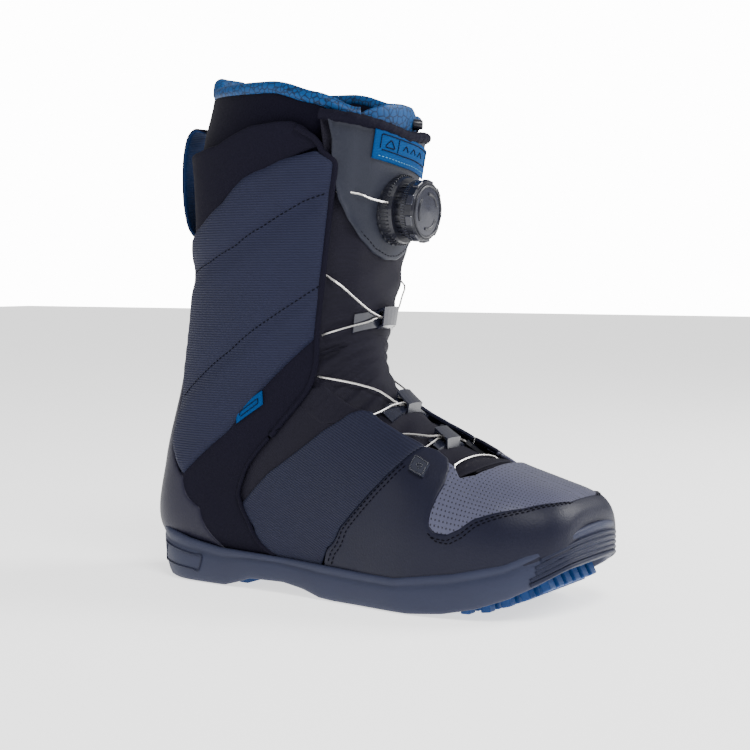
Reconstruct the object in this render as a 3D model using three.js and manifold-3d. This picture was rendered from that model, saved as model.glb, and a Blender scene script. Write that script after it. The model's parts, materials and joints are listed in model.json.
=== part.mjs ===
// A right-foot snowboard boot with a dial closure: a cup outsole with tread, a sewn upper that flexes at the
// ankle, a tongue that opens forward, a steel lace on a ratchet dial and a removable foam liner.
// Millimetres, +Z up, toe towards +X, outer (lateral) side towards -Y. The upper is lofted through stations that
// run from the toe (0) along the foot, round the heel and up to the collar (16). The girth share round a station
// runs from 0 at the sole or back to 1 at the instep or shin, negative on the outer side.
import * as THREE from "three";
import { ParametricGeometry } from "three/addons/geometries/ParametricGeometry.js";
import { mergeVertices } from "three/addons/utils/BufferGeometryUtils.js";
import Module from "manifold-3d";

const wasm = await Module();
wasm.setup();

// ---- driving dimensions ----
const BOOT_LENGTH = 296; // outsole, heel to toe
const UPPER_HEIGHT = 312; // floor to the highest station of the loft
const BOOT_WIDTH = 115; // outsole, across the ball
const SHELL_WALL = 3; // sewn upper, fabric and foam backing
const LINER_WALL = 7; // liner foam
const LINER_GAP = 3.4; // between the shell's inside and the liner
const TONGUE_INSET = 1; // tongue's face behind the upper's face
const TONGUE_PAD = 4.6; // outer tongue's padding
const TONGUE_WIDTH = 68;
const TONGUE_DENT = 9; // the tongue's flat front inside the upper's round front
const DENT_SPAN = 0.26; // girth share over which it flattens
const LINER_TONGUE = 5.5; // liner tongue's foam
const SHIELD_PLATE = 2.2; // moulded plate on the tongue
const BOARD = 2; // lasting board
const LINER_SOLE = 5; // foam under the foot
const FOOTBED = 4;
const CUP_WALL = 2.6; // outsole round the foot
const TREAD_BASE = 2;
const LUG_HEIGHT = 3.4;
const SEAM = 0.4; // gap between neighbouring pieces
const FIT = 0.4; // gap between pieces that lie on each other
const LACE_RADIUS = 0.6;
const LACE_PLAY = 0.6; // lace to the inside of its tubes and slots
const LACE_TUBE_WALL = 0.8;
const STRAP_WIDTH = 22; // pull loop
const STRAP_THICKNESS = 2;
const DIAL_RADIUS = 18; // grip of the dial
const SPOOL_RADIUS = 10.5;
const SCREW_RADIUS = 2.8;
const DIAL_PLAY = 0.4; // play of the turning dial pieces
const KNOB_TRAVEL = 3; // release stroke of the dial
const FLEX_GAP = 17; // degrees left open in front of the ankle pivot

// ---- the drawn size, which the driving dimensions scale ----
const DRAWN = { length: 296, height: 312, width: 115 };
const sx = BOOT_LENGTH / DRAWN.length;
const sy = BOOT_WIDTH / DRAWN.width;
const sz = UPPER_HEIGHT / DRAWN.height;
const side = (points) => points.map(([x, z]) => [x * sx, z * sz]);

// Back or sole point x z, front or top point x z, half width, centre y, share of the height where it is widest,
// squareness of the lower and of the upper half (1 is an ellipse, less is squarer).
const STATIONS = [
  [299, 34, 298, 50, 16, 9, 0.5, 0.6, 0.6],
  [296, 19, 296, 60, 34, 7, 0.42, 0.5, 0.62],
  [285, 11, 287, 68, 46, 5, 0.38, 0.42, 0.66],
  [265, 8, 267, 75, 54, 2, 0.36, 0.38, 0.72],
  [238, 7, 241, 84, 57, 1, 0.34, 0.36, 0.8],
  [205, 7, 213, 98, 57, 0, 0.32, 0.36, 0.86],
  [165, 9, 190, 115, 51, 0, 0.3, 0.38, 0.9],
  [118, 10, 175, 129, 46, 0, 0.32, 0.42, 0.92],
  [60, 10, 170, 140, 43, 0, 0.36, 0.5, 0.92],
  [8, 26, 169, 148, 42, 0, 0.42, 0.62, 0.92],
  [6, 70, 169, 156, 43, 0, 0.46, 0.8, 0.94],
  [18, 120, 171, 168, 46, 0, 0.48, 0.92, 0.96],
  [29, 165, 174, 190, 50, 0, 0.49, 0.9, 0.9],
  [33, 210, 179, 222, 53, 0, 0.5, 0.86, 0.86],
  [32, 250, 184, 252, 54, 0, 0.5, 0.84, 0.84],
  [28, 284, 190, 282, 55, 0, 0.5, 0.84, 0.84],
  [25, 312, 194, 310, 55, 0, 0.5, 0.84, 0.84],
].map(([bx, bz, fx, fz, w, yc, ...rest]) => [bx * sx, bz * sz, fx * sx, fz * sz, w * sy, yc * sy, ...rest]);
const LAST = STATIONS.length - 1;

// Side-view outlines [x, z] of the seams.
const ANKLE = side([[103, 92]])[0]; // bar-tack on each side, where the cuff flexes
const CUFF_FRONT = side([
  [140, 300], [135, 283], [148, 268], [157, 258], [155, 248], [151, 222], [147, 196], [146, 186], [140, 160],
  [137, 142], [134, 131], [130, 120], [121, 111], [113, 104], [103, 92],
]);
const THROAT = side([
  [128, 170], [137, 142], [146, 122], [154, 106], [165, 112], [172, 111], [180, 106], [192, 101], [208, 93],
  [219, 90], [227, 83], [231, 77], [240, 75], [246, 80], [250, 92],
]);
const QUARTER_TOP = side([[86, 50], [106, 72], [126, 87], [143, 100], [156, 108]]);
const BAND_FRONT = side([[103, 92], [90, 77], [85, 65], [84, 56], [86, 51], [95, 39], [112, 20], [120, 8]]);
const BAND_TOP = side([[142, 158], [136, 153], [99, 120], [74, 94], [39, 67], [20, 50]]);
const COUNTER_FRONT = side([
  [36, 160], [33, 130], [31, 110], [26, 84], [30, 75], [39, 65], [53, 47], [75, 21], [82, 8],
]);
const COUNTER_TOP = side([[-10, 152], [36, 152], [60, 158]]);
const COLLAR_LOW = side([
  [0, 205], [42, 215], [58, 223], [78, 235], [95, 249], [124, 260], [148, 266], [157, 271], [200, 290],
]);
const COLLAR_TOP = side([
  [0, 262], [30, 264], [53, 267], [74, 270], [92, 277], [101, 280], [121, 282], [140, 282], [200, 282],
]);
const QUARTER_FRONT = side([
  [212, 100], [208, 93], [199, 84], [188, 72], [174, 57], [161, 43], [153, 31], [148, 21], [146, 5],
]);
const VAMP_EDGE = side([
  [227, 83], [229, 74], [225, 58], [225, 52], [229, 48], [237, 47], [244, 51], [251, 57], [261, 60], [276, 62],
  [287, 63], [296, 61], [320, 60],
]);
const LASTING = side([[-20, 25], [60, 22], [120, 19], [200, 17], [260, 19], [300, 27], [330, 35]]);
const SOLE_TOP = side([
  [-20, 36], [12, 36], [25, 31], [45, 27], [70, 24], [76, 21], [106, 23], [148, 21], [178, 19], [203, 19],
  [211, 21], [241, 25], [270, 31], [284, 37], [294, 45], [302, 51], [330, 52],
]);
const SOLE_BOTTOM = side([
  [-20, 16], [0, 9], [8, 3], [20, 0], [80, 0], [90, 3], [102, 6.5], [140, 6.5], [156, 3], [170, 0], [245, 0],
  [268, 3], [288, 9], [300, 16], [330, 36],
]);
const SHIELD_LOW = side([[150, 246], [156, 236], [160, 224], [165, 213], [170, 206], [178, 201], [200, 200]]);
const TONGUE_TOP = side([[120, 282], [143, 280], [168, 274], [178, 270], [205, 262]]);
const LINER_TONGUE_TOP = side([[130, 290], [160, 296], [178, 297], [200, 292]]);

// ---- surface ----
/** Smooth value of every column of the station table at station u. */
function station(u) {
  const i = Math.min(Math.max(Math.floor(u), 0), LAST - 1);
  const t = Math.min(Math.max(u - i, 0), 1);
  const [p, a] = [STATIONS[Math.max(i - 1, 0)], STATIONS[i]];
  const [b, n] = [STATIONS[i + 1], STATIONS[Math.min(i + 2, LAST)]];
  return a.map((v, k) => {
    const c1 = b[k] - p[k];
    const c2 = 2 * p[k] - 5 * v + 4 * b[k] - n[k];
    const c3 = 3 * v - p[k] - 3 * b[k] + n[k];
    return v + 0.5 * (c1 * t + c2 * t * t + c3 * t * t * t);
  });
}

/** Point of the upper at station u and girth share g, moved out of the surface by off. */
function upperPoint(u, g, off = 0) {
  const [bx, bz, fx, fz, half, yc, widest, low, high] = station(u);
  const c = -Math.cos(g * Math.PI);
  const s = Math.sin(g * Math.PI);
  const q = c < 0 ? low : high;
  const along = Math.abs(c) ** q;
  const t = c < 0 ? widest * (1 - along) : widest + (1 - widest) * along;
  const length = Math.hypot(fx - bx, fz - bz);
  const [dx, dz] = [(fx - bx) / length, (fz - bz) / length];
  const d = -off + (length + 2 * off) * t;
  const toe = off * (1 - Math.min(u / 2, 1));
  const y = yc + Math.sign(s) * (half + off) * Math.abs(s) ** q;
  return new THREE.Vector3(bx + dx * d + toe, y, bz + dz * d);
}

/** How far the tongue's flatter front lies inside the upper's round front. */
function dent(u, g) {
  const share = Math.min(Math.abs(Math.abs(g) - 1) / DENT_SPAN, 1);
  const flatness = 4 - 2 * THREE.MathUtils.smoothstep(u, 8, 10);
  return TONGUE_DENT * (1 - share ** flatness) * THREE.MathUtils.smoothstep(u, 3.8, 5);
}

/** Point of the tongue's surface, moved out of it by off. */
const tonguePoint = (u, g, off = 0) => upperPoint(u, g, off - dent(u, g));

// ---- solids ----
function solidOf(geometry) {
  const plain = geometry.clone();
  plain.deleteAttribute("normal");
  plain.deleteAttribute("uv");
  const merged = mergeVertices(plain, 1e-4);
  const kept = [];
  const index = merged.index.array;
  for (let i = 0; i < index.length; i += 3) {
    const [a, b, c] = [index[i], index[i + 1], index[i + 2]];
    if (a !== b && b !== c && a !== c) kept.push(a, b, c);
  }
  const vertProperties = merged.attributes.position.array;
  const mesh = { numProp: 3, vertProperties, triVerts: new Uint32Array(kept) };
  const made = new wasm.Manifold(new wasm.Mesh(mesh));
  if (made.volume() >= 0) return made;
  const turned = kept.map((_, i) => kept[i - (i % 3) + [0, 2, 1][i % 3]]);
  return new wasm.Manifold(new wasm.Mesh({ ...mesh, triVerts: new Uint32Array(turned) }));
}

function geometryOf(solid) {
  const { vertProperties, triVerts, numProp } = solid.getMesh();
  const count = vertProperties.length / numProp;
  const positions = new Float32Array(count * 3);
  for (let i = 0; i < count; i += 1) {
    positions.set(vertProperties.subarray(i * numProp, i * numProp + 3), i * 3);
  }
  const attribute = new THREE.BufferAttribute(positions, 3);
  const geometry = new THREE.BufferGeometry().setAttribute("position", attribute);
  geometry.setIndex(new THREE.BufferAttribute(new Uint32Array(triVerts), 1));
  geometry.computeVertexNormals();
  return geometry;
}

/** The largest of a solid's separate bodies. */
function mainBody(solid) {
  return solid.decompose().reduce((best, one) => (one.volume() > best.volume() ? one : best));
}

/** Closed tube of the upper at an offset. */
function hull(off, { from = 0, to = LAST, rings = 24, sides = 20, point = upperPoint } = {}) {
  const total = rings + 2;
  const surface = (v, w, target) => {
    const ring = Math.round(w * total);
    const u = from + ((to - from) * Math.min(Math.max(ring - 1, 0), rings)) / rings;
    if (ring === 0 || ring === total) {
      target.copy(point(u, 0, off)).add(point(u, 1, off)).multiplyScalar(0.5);
      target.y = station(u)[5];
    } else {
      target.copy(point(u, v >= 1 ? 0 : 2 * v, off));
    }
  };
  return solidOf(new ParametricGeometry(surface, sides, total));
}

/** Prism across the boot from a side-view outline. */
function prism(outline, low = -200, high = 200) {
  const shape = new THREE.Shape(outline.map(([x, z]) => new THREE.Vector2(x, z)));
  const geometry = new THREE.ExtrudeGeometry(shape, { depth: high - low, bevelEnabled: false });
  return solidOf(geometry.rotateX(Math.PI / 2).translate(0, high, 0));
}

/** Everything above or below a line drawn from rear to front. */
const FAR = 600;
function besideLine(line, lift, end) {
  return prism([[line[0][0], end], ...line.map(([x, z]) => [x, z + lift]), [line.at(-1)[0], end]]);
}
const above = (line, lift = 0) => besideLine(line, lift, FAR);
const below = (line, lift = 0) => besideLine(line, lift, -FAR);

/** Thin wall along a side-view line, which parts the pieces on its two sides. */
function seam(line, width = SEAM) {
  const left = [];
  const right = [];
  line.forEach((point, i) => {
    const a = line[Math.max(i - 1, 0)];
    const b = line[Math.min(i + 1, line.length - 1)];
    const length = Math.hypot(b[0] - a[0], b[1] - a[1]);
    const [nx, nz] = [(-(b[1] - a[1]) / length) * (width / 2), ((b[0] - a[0]) / length) * (width / 2)];
    left.push([point[0] + nx, point[1] + nz]);
    right.unshift([point[0] - nx, point[1] - nz]);
  });
  return prism([...left, ...right]);
}

const slab = (axis, low, high) => {
  const size = { x: 2 * FAR, y: 2 * FAR, z: 2 * FAR, [axis]: high - low };
  const box = new THREE.BoxGeometry(size.x, size.y, size.z);
  const at = { x: 0, y: 0, z: 0, [axis]: (low + high) / 2 };
  return solidOf(box.translate(at.x, at.y, at.z));
};

// ---- materials ----
const finish = (color, roughness, metalness = 0) =>
  new THREE.MeshStandardMaterial({ color, roughness, metalness });
const FINISHES = {
  ribbed: finish(0x2c2f45, 0.75),
  softshell: finish(0x1c1926, 0.9),
  leather: finish(0x363a4c, 0.5),
  rubber: finish(0x32374c, 0.6),
  blueRubber: finish(0x0f5fa8, 0.6),
  blueFabric: finish(0x1c5f9c, 0.85),
  liner: finish(0x1b1b26, 0.9),
  foam: finish(0x8a8d92, 0.9),
  board: finish(0xb6a88c, 0.85),
  plastic: finish(0x16181d, 0.35),
  greyPlastic: finish(0x50545e, 0.4),
  steel: finish(0xb9b4ae, 0.3, 1),
};

const boot = new THREE.Group();
boot.name = "snowboard_boot";
function add(name, shape, material) {
  const geometry = shape.isBufferGeometry ? shape : geometryOf(shape);
  const mesh = new THREE.Mesh(geometry, FINISHES[material]);
  mesh.name = name;
  boot.add(mesh);
  return mesh;
}

// ---- regions in the side view ----
const CUFF_RAY = 44; // lower edge of the cuff in front of the pivot, degrees above the horizon
const LOWER_RAY = CUFF_RAY - FLEX_GAP;
const REACH = 400;

/** Point in front of the ankle pivot at an elevation in degrees. */
function rayEnd(angle) {
  const t = THREE.MathUtils.degToRad(angle);
  return [ANKLE[0] + REACH, ANKLE[1] + REACH * Math.tan(t)];
}

const behindPivot = (z) => [[-FAR, z], [ANKLE[0], z]];
const cuffZone = above([...behindPivot(ANKLE[1] + SEAM / 2), rayEnd(CUFF_RAY)]);
const lowerZone = below([...behindPivot(ANKLE[1] - SEAM / 2), rayEnd(LOWER_RAY)]);
const flexZone = prism([ANKLE, rayEnd(LOWER_RAY + 0.6), rayEnd(CUFF_RAY - 0.6)]);
const shaftThroat = prism([...CUFF_FRONT, [FAR, ANKLE[1]], [FAR, FAR], [CUFF_FRONT[0][0], FAR]]);
const instepThroat = prism([...THROAT, [THROAT.at(-1)[0], FAR], [THROAT[0][0], FAR]]);

/** Closed shell between two offsets of the upper. */
const wall = (outer, inner, options = {}) => hull(outer, options).subtract(hull(inner, options));

/** Block that lies on a surface: u and g are ranges, low and high are offsets. */
function patch(point, u, g, low, high, steps = [6, 6]) {
  const box = new THREE.BoxGeometry(1, 1, 1, steps[1], steps[0], 1);
  const place = box.attributes.position;
  for (let i = 0; i < place.count; i += 1) {
    const at = (range, value) => range[0] + (range[1] - range[0]) * (value + 0.5);
    const spot = point(at(u, place.getY(i)), at(g, place.getX(i)), at([low, high], place.getZ(i)));
    place.setXYZ(i, spot.x, spot.y, spot.z);
  }
  return solidOf(box);
}

const mirrorY = (solid) => {
  const geometry = geometryOf(solid);
  geometry.scale(1, -1, 1);
  return solidOf(geometry);
};
const LATERAL = slab("y", -FAR, -SEAM / 2);
const MEDIAL = slab("y", SEAM / 2, FAR);

/** Adds one piece on each side of the boot. */
function addSides(name, solid, material) {
  add(`${name}_lateral`, mainBody(solid.intersect(LATERAL)), material);
  add(`${name}_medial`, mainBody(solid.intersect(MEDIAL)), material);
}

// ---- outsole, treads and midsole ----
const CUP_OUT = 0.6; // outsole's face outside the upper's face
const CUP_IN = CUP_OUT - CUP_WALL;
const MARGIN_OUT = CUP_IN - FIT; // the upper's edge, where it stands inside the cup
const MARGIN_IN = MARGIN_OUT - SHELL_WALL;
const BLOCK_TOP = 20 * sz;
const HEEL_TOP = 38 * sz;
const DRAFT = 1.5; // the sole block is narrower at the floor
const TREAD_INSET = 12;
const cupHull = hull(CUP_OUT, { rings: 32, sides: 28 });

/** Sole outline between two heights, stretched from the floor to a top and moved in by inset. */
function outlineBlock(low, high, blockTop, inset) {
  const geometry = geometryOf(cupHull.intersect(slab("z", low, high)));
  const place = geometry.attributes.position;
  const [cx, half] = [BOOT_LENGTH / 2, BOOT_WIDTH / 2];
  for (let i = 0; i < place.count; i += 1) {
    const top = place.getZ(i) > (low + high) / 2;
    const draw = inset + (top ? 0 : DRAFT);
    const x = cx + (place.getX(i) - cx) * (1 - draw / cx);
    place.setXYZ(i, x, place.getY(i) * (1 - draw / half), top ? blockTop : 0);
  }
  return solidOf(geometry);
}

function soleBlock(inset = 0) {
  const heel = outlineBlock(32 * sz, 34 * sz, HEEL_TOP, inset).intersect(slab("x", -FAR, 60 * sx));
  return outlineBlock(17 * sz, 19 * sz, BLOCK_TOP, inset).add(heel);
}

/** Chevron bars across the sole between two x positions. */
function chevrons(from, to, pitch, width, sweep) {
  const bars = [];
  for (let x = from; x + width < to; x += pitch) {
    const shape = new THREE.Shape();
    shape.moveTo(x, -70).lineTo(x + sweep, 0).lineTo(x, 70);
    shape.lineTo(x + width, 70).lineTo(x + width + sweep, 0).lineTo(x + width, -70);
    bars.push(solidOf(new THREE.ExtrudeGeometry(shape, { depth: 40, bevelEnabled: false })));
  }
  return bars.reduce((all, bar) => all.add(bar));
}

const HEEL_TREAD = [14 * sx, 86 * sx];
const FOREFOOT_TREAD = [158 * sx, 300 * sx];

/** Room for one tread in the outsole's underside, or the tread itself when it is fitted. */
function treadRoom([from, to], fit) {
  const depth = LUG_HEIGHT + TREAD_BASE - fit;
  const open = soleBlock(TREAD_INSET + fit).intersect(slab("x", from + fit, to));
  return open.intersect(below(SOLE_BOTTOM, depth));
}

function tread(range, pitch) {
  const room = treadRoom(range, FIT).intersect(above(SOLE_BOTTOM));
  const rows = chevrons(...range, pitch, pitch - 4, 8);
  const lugs = room.intersect(below(SOLE_BOTTOM, LUG_HEIGHT + 0.2)).intersect(rows);
  return room.intersect(above(SOLE_BOTTOM, LUG_HEIGHT)).add(lugs);
}

/** Notches along the rim of the sole. */
function rimNotches() {
  const notch = (x) => prism([[x, -5], [x + 3, -5], [x + 3, 0], [x, 0]].map(([px, pz]) => [px * sx, pz]));
  const at = [28, 46, 64, 178, 196, 214, 232];
  const all = at.map(notch).reduce((sum, one) => sum.add(one));
  const tall = geometryOf(all).translate(0, 0, LUG_HEIGHT * 0.7);
  return solidOf(tall).intersect(above(SOLE_BOTTOM, -1));
}

/** Shallow skin of the cup, which grooves and recesses are cut into. */
const cupSkin = hull(CUP_OUT + 2).subtract(hull(CUP_OUT - 0.9));

function bumperGrooves() {
  const lines = [20, 25, 30, 35, 40].map((z) => side([[273, z - 2], [286, z], [312, z + 5]]));
  return lines.map((line) => seam(line, 1.4)).reduce((all, one) => all.add(one)).intersect(cupSkin);
}

const HEEL_PANEL = side([[16, 17], [50, 13], [57, 15], [50, 22], [22, 27], [15, 25]]);

function outsole() {
  const cup = cupHull.add(soleBlock()).intersect(below(SOLE_TOP)).intersect(above(SOLE_BOTTOM));
  const rooms = treadRoom(HEEL_TREAD, 0).add(treadRoom(FOREFOOT_TREAD, 0));
  const hollow = cup.subtract(hull(CUP_IN)).subtract(rooms).subtract(rimNotches());
  return mainBody(hollow.subtract(bumperGrooves()).subtract(prism(HEEL_PANEL).intersect(cupSkin)));
}

const BOARD_OUT = MARGIN_IN - FIT;
add("outsole", outsole(), "rubber");
add("tread_heel", mainBody(tread(HEEL_TREAD, 11)), "blueRubber");
add("tread_forefoot", mainBody(tread(FOREFOOT_TREAD, 12)), "blueRubber");
add("midsole", mainBody(hull(MARGIN_OUT).intersect(below(LASTING, -BOARD - FIT))), "foam");
const boardZone = above(LASTING, -BOARD).intersect(below(LASTING));
add("lasting_board", mainBody(hull(BOARD_OUT).intersect(boardZone)), "board");

// ---- sewn upper of the foot ----
const shell = wall(0, -SHELL_WALL);
const marginZone = above(LASTING, -BOARD).intersect(below(SOLE_TOP, 4 * sz));
const margin = wall(MARGIN_OUT, MARGIN_IN).intersect(marginZone);
const wholeUpper = shell.intersect(above(SOLE_TOP, FIT)).add(margin);
const lowerUpper = wholeUpper.intersect(lowerZone).subtract(instepThroat);
const counterRegion = prism([...COUNTER_FRONT, [-FAR, 0], [-FAR, 160 * sz]]);
const bandRegion = prism([...BAND_FRONT, [-FAR, 0], [-FAR, ANKLE[1]]]);
const underlayRegion = prism([...QUARTER_TOP, [QUARTER_TOP.at(-1)[0], FAR], [QUARTER_TOP[0][0], FAR]]);
const quarterRegion = prism([...QUARTER_FRONT, [-FAR, 0], [-FAR, FAR], [QUARTER_FRONT[0][0], FAR]]);
const vampRegion = prism([...VAMP_EDGE, [VAMP_EDGE.at(-1)[0], FAR], [VAMP_EDGE[0][0], FAR]]);

function footPanels() {
  const counter = lowerUpper.intersect(counterRegion);
  const beyondCounter = lowerUpper.subtract(counterRegion).subtract(seam(COUNTER_FRONT));
  const beyondBand = beyondCounter.subtract(bandRegion).subtract(seam(BAND_FRONT));
  const rearward = beyondBand.intersect(quarterRegion);
  const quarter = rearward.subtract(underlayRegion).subtract(seam(QUARTER_TOP));
  const front = beyondBand.subtract(quarterRegion).subtract(seam(QUARTER_FRONT));
  add("heel_counter", mainBody(counter), "leather");
  addSides("ankle_band_lower", beyondCounter.intersect(bandRegion), "softshell");
  addSides("ankle_underlay", rearward.intersect(underlayRegion), "softshell");
  addSides("quarter", quarter, "ribbed");
  add("toe_vamp", mainBody(front.intersect(vampRegion).subtract(seam(VAMP_EDGE))), "leather");
  add("toe_rand", mainBody(front.subtract(vampRegion)), "leather");
}
footPanels();

// ---- cuff ----
const cuffShell = shell.intersect(cuffZone).intersect(below(COLLAR_TOP)).subtract(shaftThroat);
const backstayRegion = counterRegion.intersect(below(COUNTER_TOP));

function cuffPanels() {
  const counterSeam = seam(COUNTER_FRONT).intersect(below(COUNTER_TOP, SEAM));
  const rest = cuffShell.subtract(backstayRegion).subtract(counterSeam);
  const seams = seam(BAND_TOP).add(seam(COUNTER_TOP));
  const panel = rest.intersect(above(BAND_TOP)).intersect(below(COLLAR_LOW)).subtract(seams);
  add("cuff_backstay", mainBody(cuffShell.intersect(backstayRegion)), "leather");
  addSides("ankle_band_cuff", rest.intersect(below(BAND_TOP)), "softshell");
  addSides("cuff_panel", panel, "ribbed");
  addSides("cuff_collar", rest.intersect(above(COLLAR_LOW)).subtract(seam(COLLAR_LOW)), "softshell");
}
cuffPanels();

/** Strap loop at the back, bowed out between its two sewn ends. */
function pullLoop() {
  const [low, high, bow] = [13.1, 15.05, 13 * sx];
  const inner = [];
  const outer = [];
  for (let i = 0; i <= 20; i += 1) {
    const t = i / 20;
    const u = low + (high - low) * t;
    const rise = Math.sin(Math.PI * THREE.MathUtils.clamp((t - 0.12) / 0.76, 0, 1));
    const off = FIT + bow * Math.max(0, rise) ** 0.8;
    const [a, b] = [upperPoint(u, 0, off), upperPoint(u, 0, off + STRAP_THICKNESS)];
    inner.push([a.x, a.z]);
    outer.unshift([b.x, b.z]);
  }
  return prism([...inner, ...outer], -STRAP_WIDTH / 2, STRAP_WIDTH / 2);
}
add("pull_loop", pullLoop(), "blueFabric");
add("side_tag", patch(upperPoint, [9.8, 10.12], [-0.585, -0.55], FIT, FIT + 1.2, [2, 2]), "blueFabric");

// ---- fabric that bends between the foot and the cuff ----
const gussetFront = slab("x", -FAR, 134 * sx);
const gusset = shell.intersect(flexZone).intersect(gussetFront).subtract(instepThroat);
addSides("ankle_gusset", gusset, "softshell");

// ---- tongue ----
const tongueHalf = TONGUE_WIDTH / 2;
const hinged = slab("z", 150 * sz, FAR); // the tongues' part above their crease
const tongueStrip = slab("y", -tongueHalf, tongueHalf).intersect(slab("x", 147 * sx, FAR));
const FLAT = { point: tonguePoint };
const tongueWall = wall(-TONGUE_INSET, -TONGUE_INSET - TONGUE_PAD, FLAT);
const shieldRegion = above(SHIELD_LOW).intersect(below(TONGUE_TOP, -2 * sz));
const plateWall = wall(0, -SHIELD_PLATE, FLAT).intersect(tongueStrip);

function tonguePieces() {
  const recess = wall(2, -SHIELD_PLATE - FIT, FLAT).intersect(above(SHIELD_LOW, -FIT));
  const strip = tongueWall.intersect(tongueStrip).intersect(cuffZone.intersect(hinged));
  const pad = strip.intersect(below(TONGUE_TOP)).subtract(recess);
  const crease = tongueWall.intersect(tongueStrip).intersect(flexZone);
  add("tongue_lower", mainBody(tongueWall.intersect(lowerZone).intersect(instepThroat)), "softshell");
  add("tongue_crease", mainBody(crease.subtract(underEdges())), "softshell");
  add("tongue_pad", mainBody(pad), "softshell");
  add("tongue_shield", mainBody(plateWall.intersect(shieldRegion)), "greyPlastic");
}

/** Room of the gussets, which the crease stays clear of. */
function underEdges() {
  return prism(THROAT.slice(0, 4).concat([[THROAT[3][0], 0], [0, 0], [0, FAR], [THROAT[0][0], FAR]]));
}
tonguePieces();

// ---- liner ----
const LINER_OUT = -SHELL_WALL - LINER_GAP;
const LINER_IN = LINER_OUT - LINER_WALL;
const LINER_FLOOR = LINER_SOLE + FIT;
const COARSE = { from: 0.9, rings: 16, sides: 20, point: tonguePoint };
const linerWall = hull(LINER_OUT, FLAT).subtract(hull(LINER_IN, COARSE));
const CUFF_LINER_FRONT = CUFF_FRONT.map(([x, z]) => [x - 16 * sx, z]);

/** Middle of the liner's rolled rim at a girth share. */
function rimPoint(g) {
  const u = 15.85 - 0.35 * THREE.MathUtils.smoothstep(Math.abs(g), 0.12, 0.4);
  return upperPoint(u, g, (LINER_OUT + LINER_IN) / 2);
}

/** Side-view line just below the rim, where the liner's wall ends. */
function linerTop() {
  const drop = LINER_WALL / 2 + FIT;
  const line = Array.from({ length: 13 }, (_, i) => rimPoint(i * 0.05)).map((p) => [p.x, p.z - drop]);
  return [[-FAR, line[0][1]], ...line, [FAR, line.at(-1)[1]]];
}

function liner() {
  const outer = hull(LINER_OUT, FLAT).intersect(above(LASTING, FIT));
  const inner = hull(LINER_IN, COARSE).intersect(above(LASTING, FIT + LINER_SOLE));
  const foot = outer.subtract(inner).intersect(lowerZone);
  const bedZone = above(LASTING, LINER_FLOOR + FIT).intersect(below(LASTING, LINER_FLOOR + FIT + FOOTBED));
  add("liner_foot", mainBody(foot), "liner");
  add("footbed", mainBody(hull(LINER_IN - FIT, COARSE).intersect(bedZone)), "blueFabric");
  const front = prism([...CUFF_LINER_FRONT, [FAR, ANKLE[1]], [FAR, FAR], [CUFF_LINER_FRONT[0][0], FAR]]);
  const collar = linerWall.intersect(cuffZone).intersect(below(linerTop())).subtract(front);
  add("liner_cuff", mainBody(collar), "liner");
  const strip = slab("y", -34 * sy, 34 * sy).intersect(slab("x", 140 * sx, FAR)).intersect(hinged);
  const tongueWallIn = wall(LINER_OUT - FIT, LINER_OUT - FIT - LINER_TONGUE, FLAT);
  const tongue = tongueWallIn.intersect(strip).intersect(cuffZone).intersect(below(LINER_TONGUE_TOP));
  add("liner_tongue", mainBody(tongue), "blueFabric");
}
liner();

// ---- round bars and tubes ----
function curveOf(points) {
  return new THREE.CatmullRomCurve3(points, false, "centripetal");
}

function ringShape(radius, bore, corners) {
  const shape = new THREE.Shape();
  const ring = (r, turn) => Array.from({ length: corners }, (_, i) => {
    const t = (turn * 2 * Math.PI * i) / corners;
    return new THREE.Vector2(r * Math.cos(t), r * Math.sin(t));
  });
  shape.setFromPoints(ring(radius, 1));
  if (bore > 0) shape.holes.push(new THREE.Path(ring(bore, -1)));
  return shape;
}

/** Round bar along points, or a tube when it has a bore. */
function bar(points, radius, steps, bore = 0, corners = 6) {
  const options = { steps, extrudePath: curveOf(points), bevelEnabled: false };
  return solidOf(new THREE.ExtrudeGeometry(ringShape(radius, bore, corners), options));
}

const TONGUE_BINDING = 3.6;

/** Thick bound edge across the top of the tongue. */
function tongueBinding() {
  const edge = [];
  for (let g = 0.79; g <= 1.2101; g += 0.03) edge.push(tonguePoint(14.8 + 1.6 * Math.abs(g - 1), g, -1.6));
  add("tongue_binding", bar(edge, TONGUE_BINDING, 20, 0, 8), "softshell");
}
tongueBinding();

// ---- lace route ----
// Eyelets are [station, girth share] on one side; the other side mirrors them.
const EYELETS = [
  [13.6, 0.7], [12.3, 0.69], [10.85, 0.7], [9.75, 0.7], [6.75, 0.8], [5.95, 0.81], [5.3, 0.83], [4.55, 0.835],
];
const GUIDES = [10.95, 6.5, 5.25]; // stations of the three guides on the tongue's centre line
const TUBE_RADIUS = LACE_RADIUS + LACE_PLAY + LACE_TUBE_WALL;
const TUBE_DEPTH = -SHELL_WALL - 2 * FIT - TUBE_RADIUS;
const TUBE_SET = 0.03; // girth share that a tube bows back under its flap
const LACE_OUT = -TONGUE_INSET + LACE_RADIUS + 2 * FIT; // lace on the tongue
const GUIDE_SEAT = -TONGUE_INSET + FIT;
const GUIDE_FLOOR = 1.4;
const GUIDE_ROOF = 1.2;
const GUIDE_SLOT = 4 * LACE_RADIUS + 3 * FIT; // two crossing laces
const LOOP_HALF = 8; // half of the loop's length across the tongue
const SLOT_MIDDLE = GUIDE_SEAT + GUIDE_FLOOR + GUIDE_SLOT / 2;
const CROSS = LACE_RADIUS + FIT / 2; // each crossing lace's distance from the slot's middle

/** Girth share at a distance across from the centre line; above 1 is the outer side. */
function shareAt(u, across) {
  const [, , , , half, , , , square] = station(u);
  const s = (Math.abs(across) / (half - TONGUE_INSET)) ** (1 / square);
  return 1 - (Math.sign(across) * Math.asin(Math.min(s, 1))) / Math.PI;
}

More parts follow.
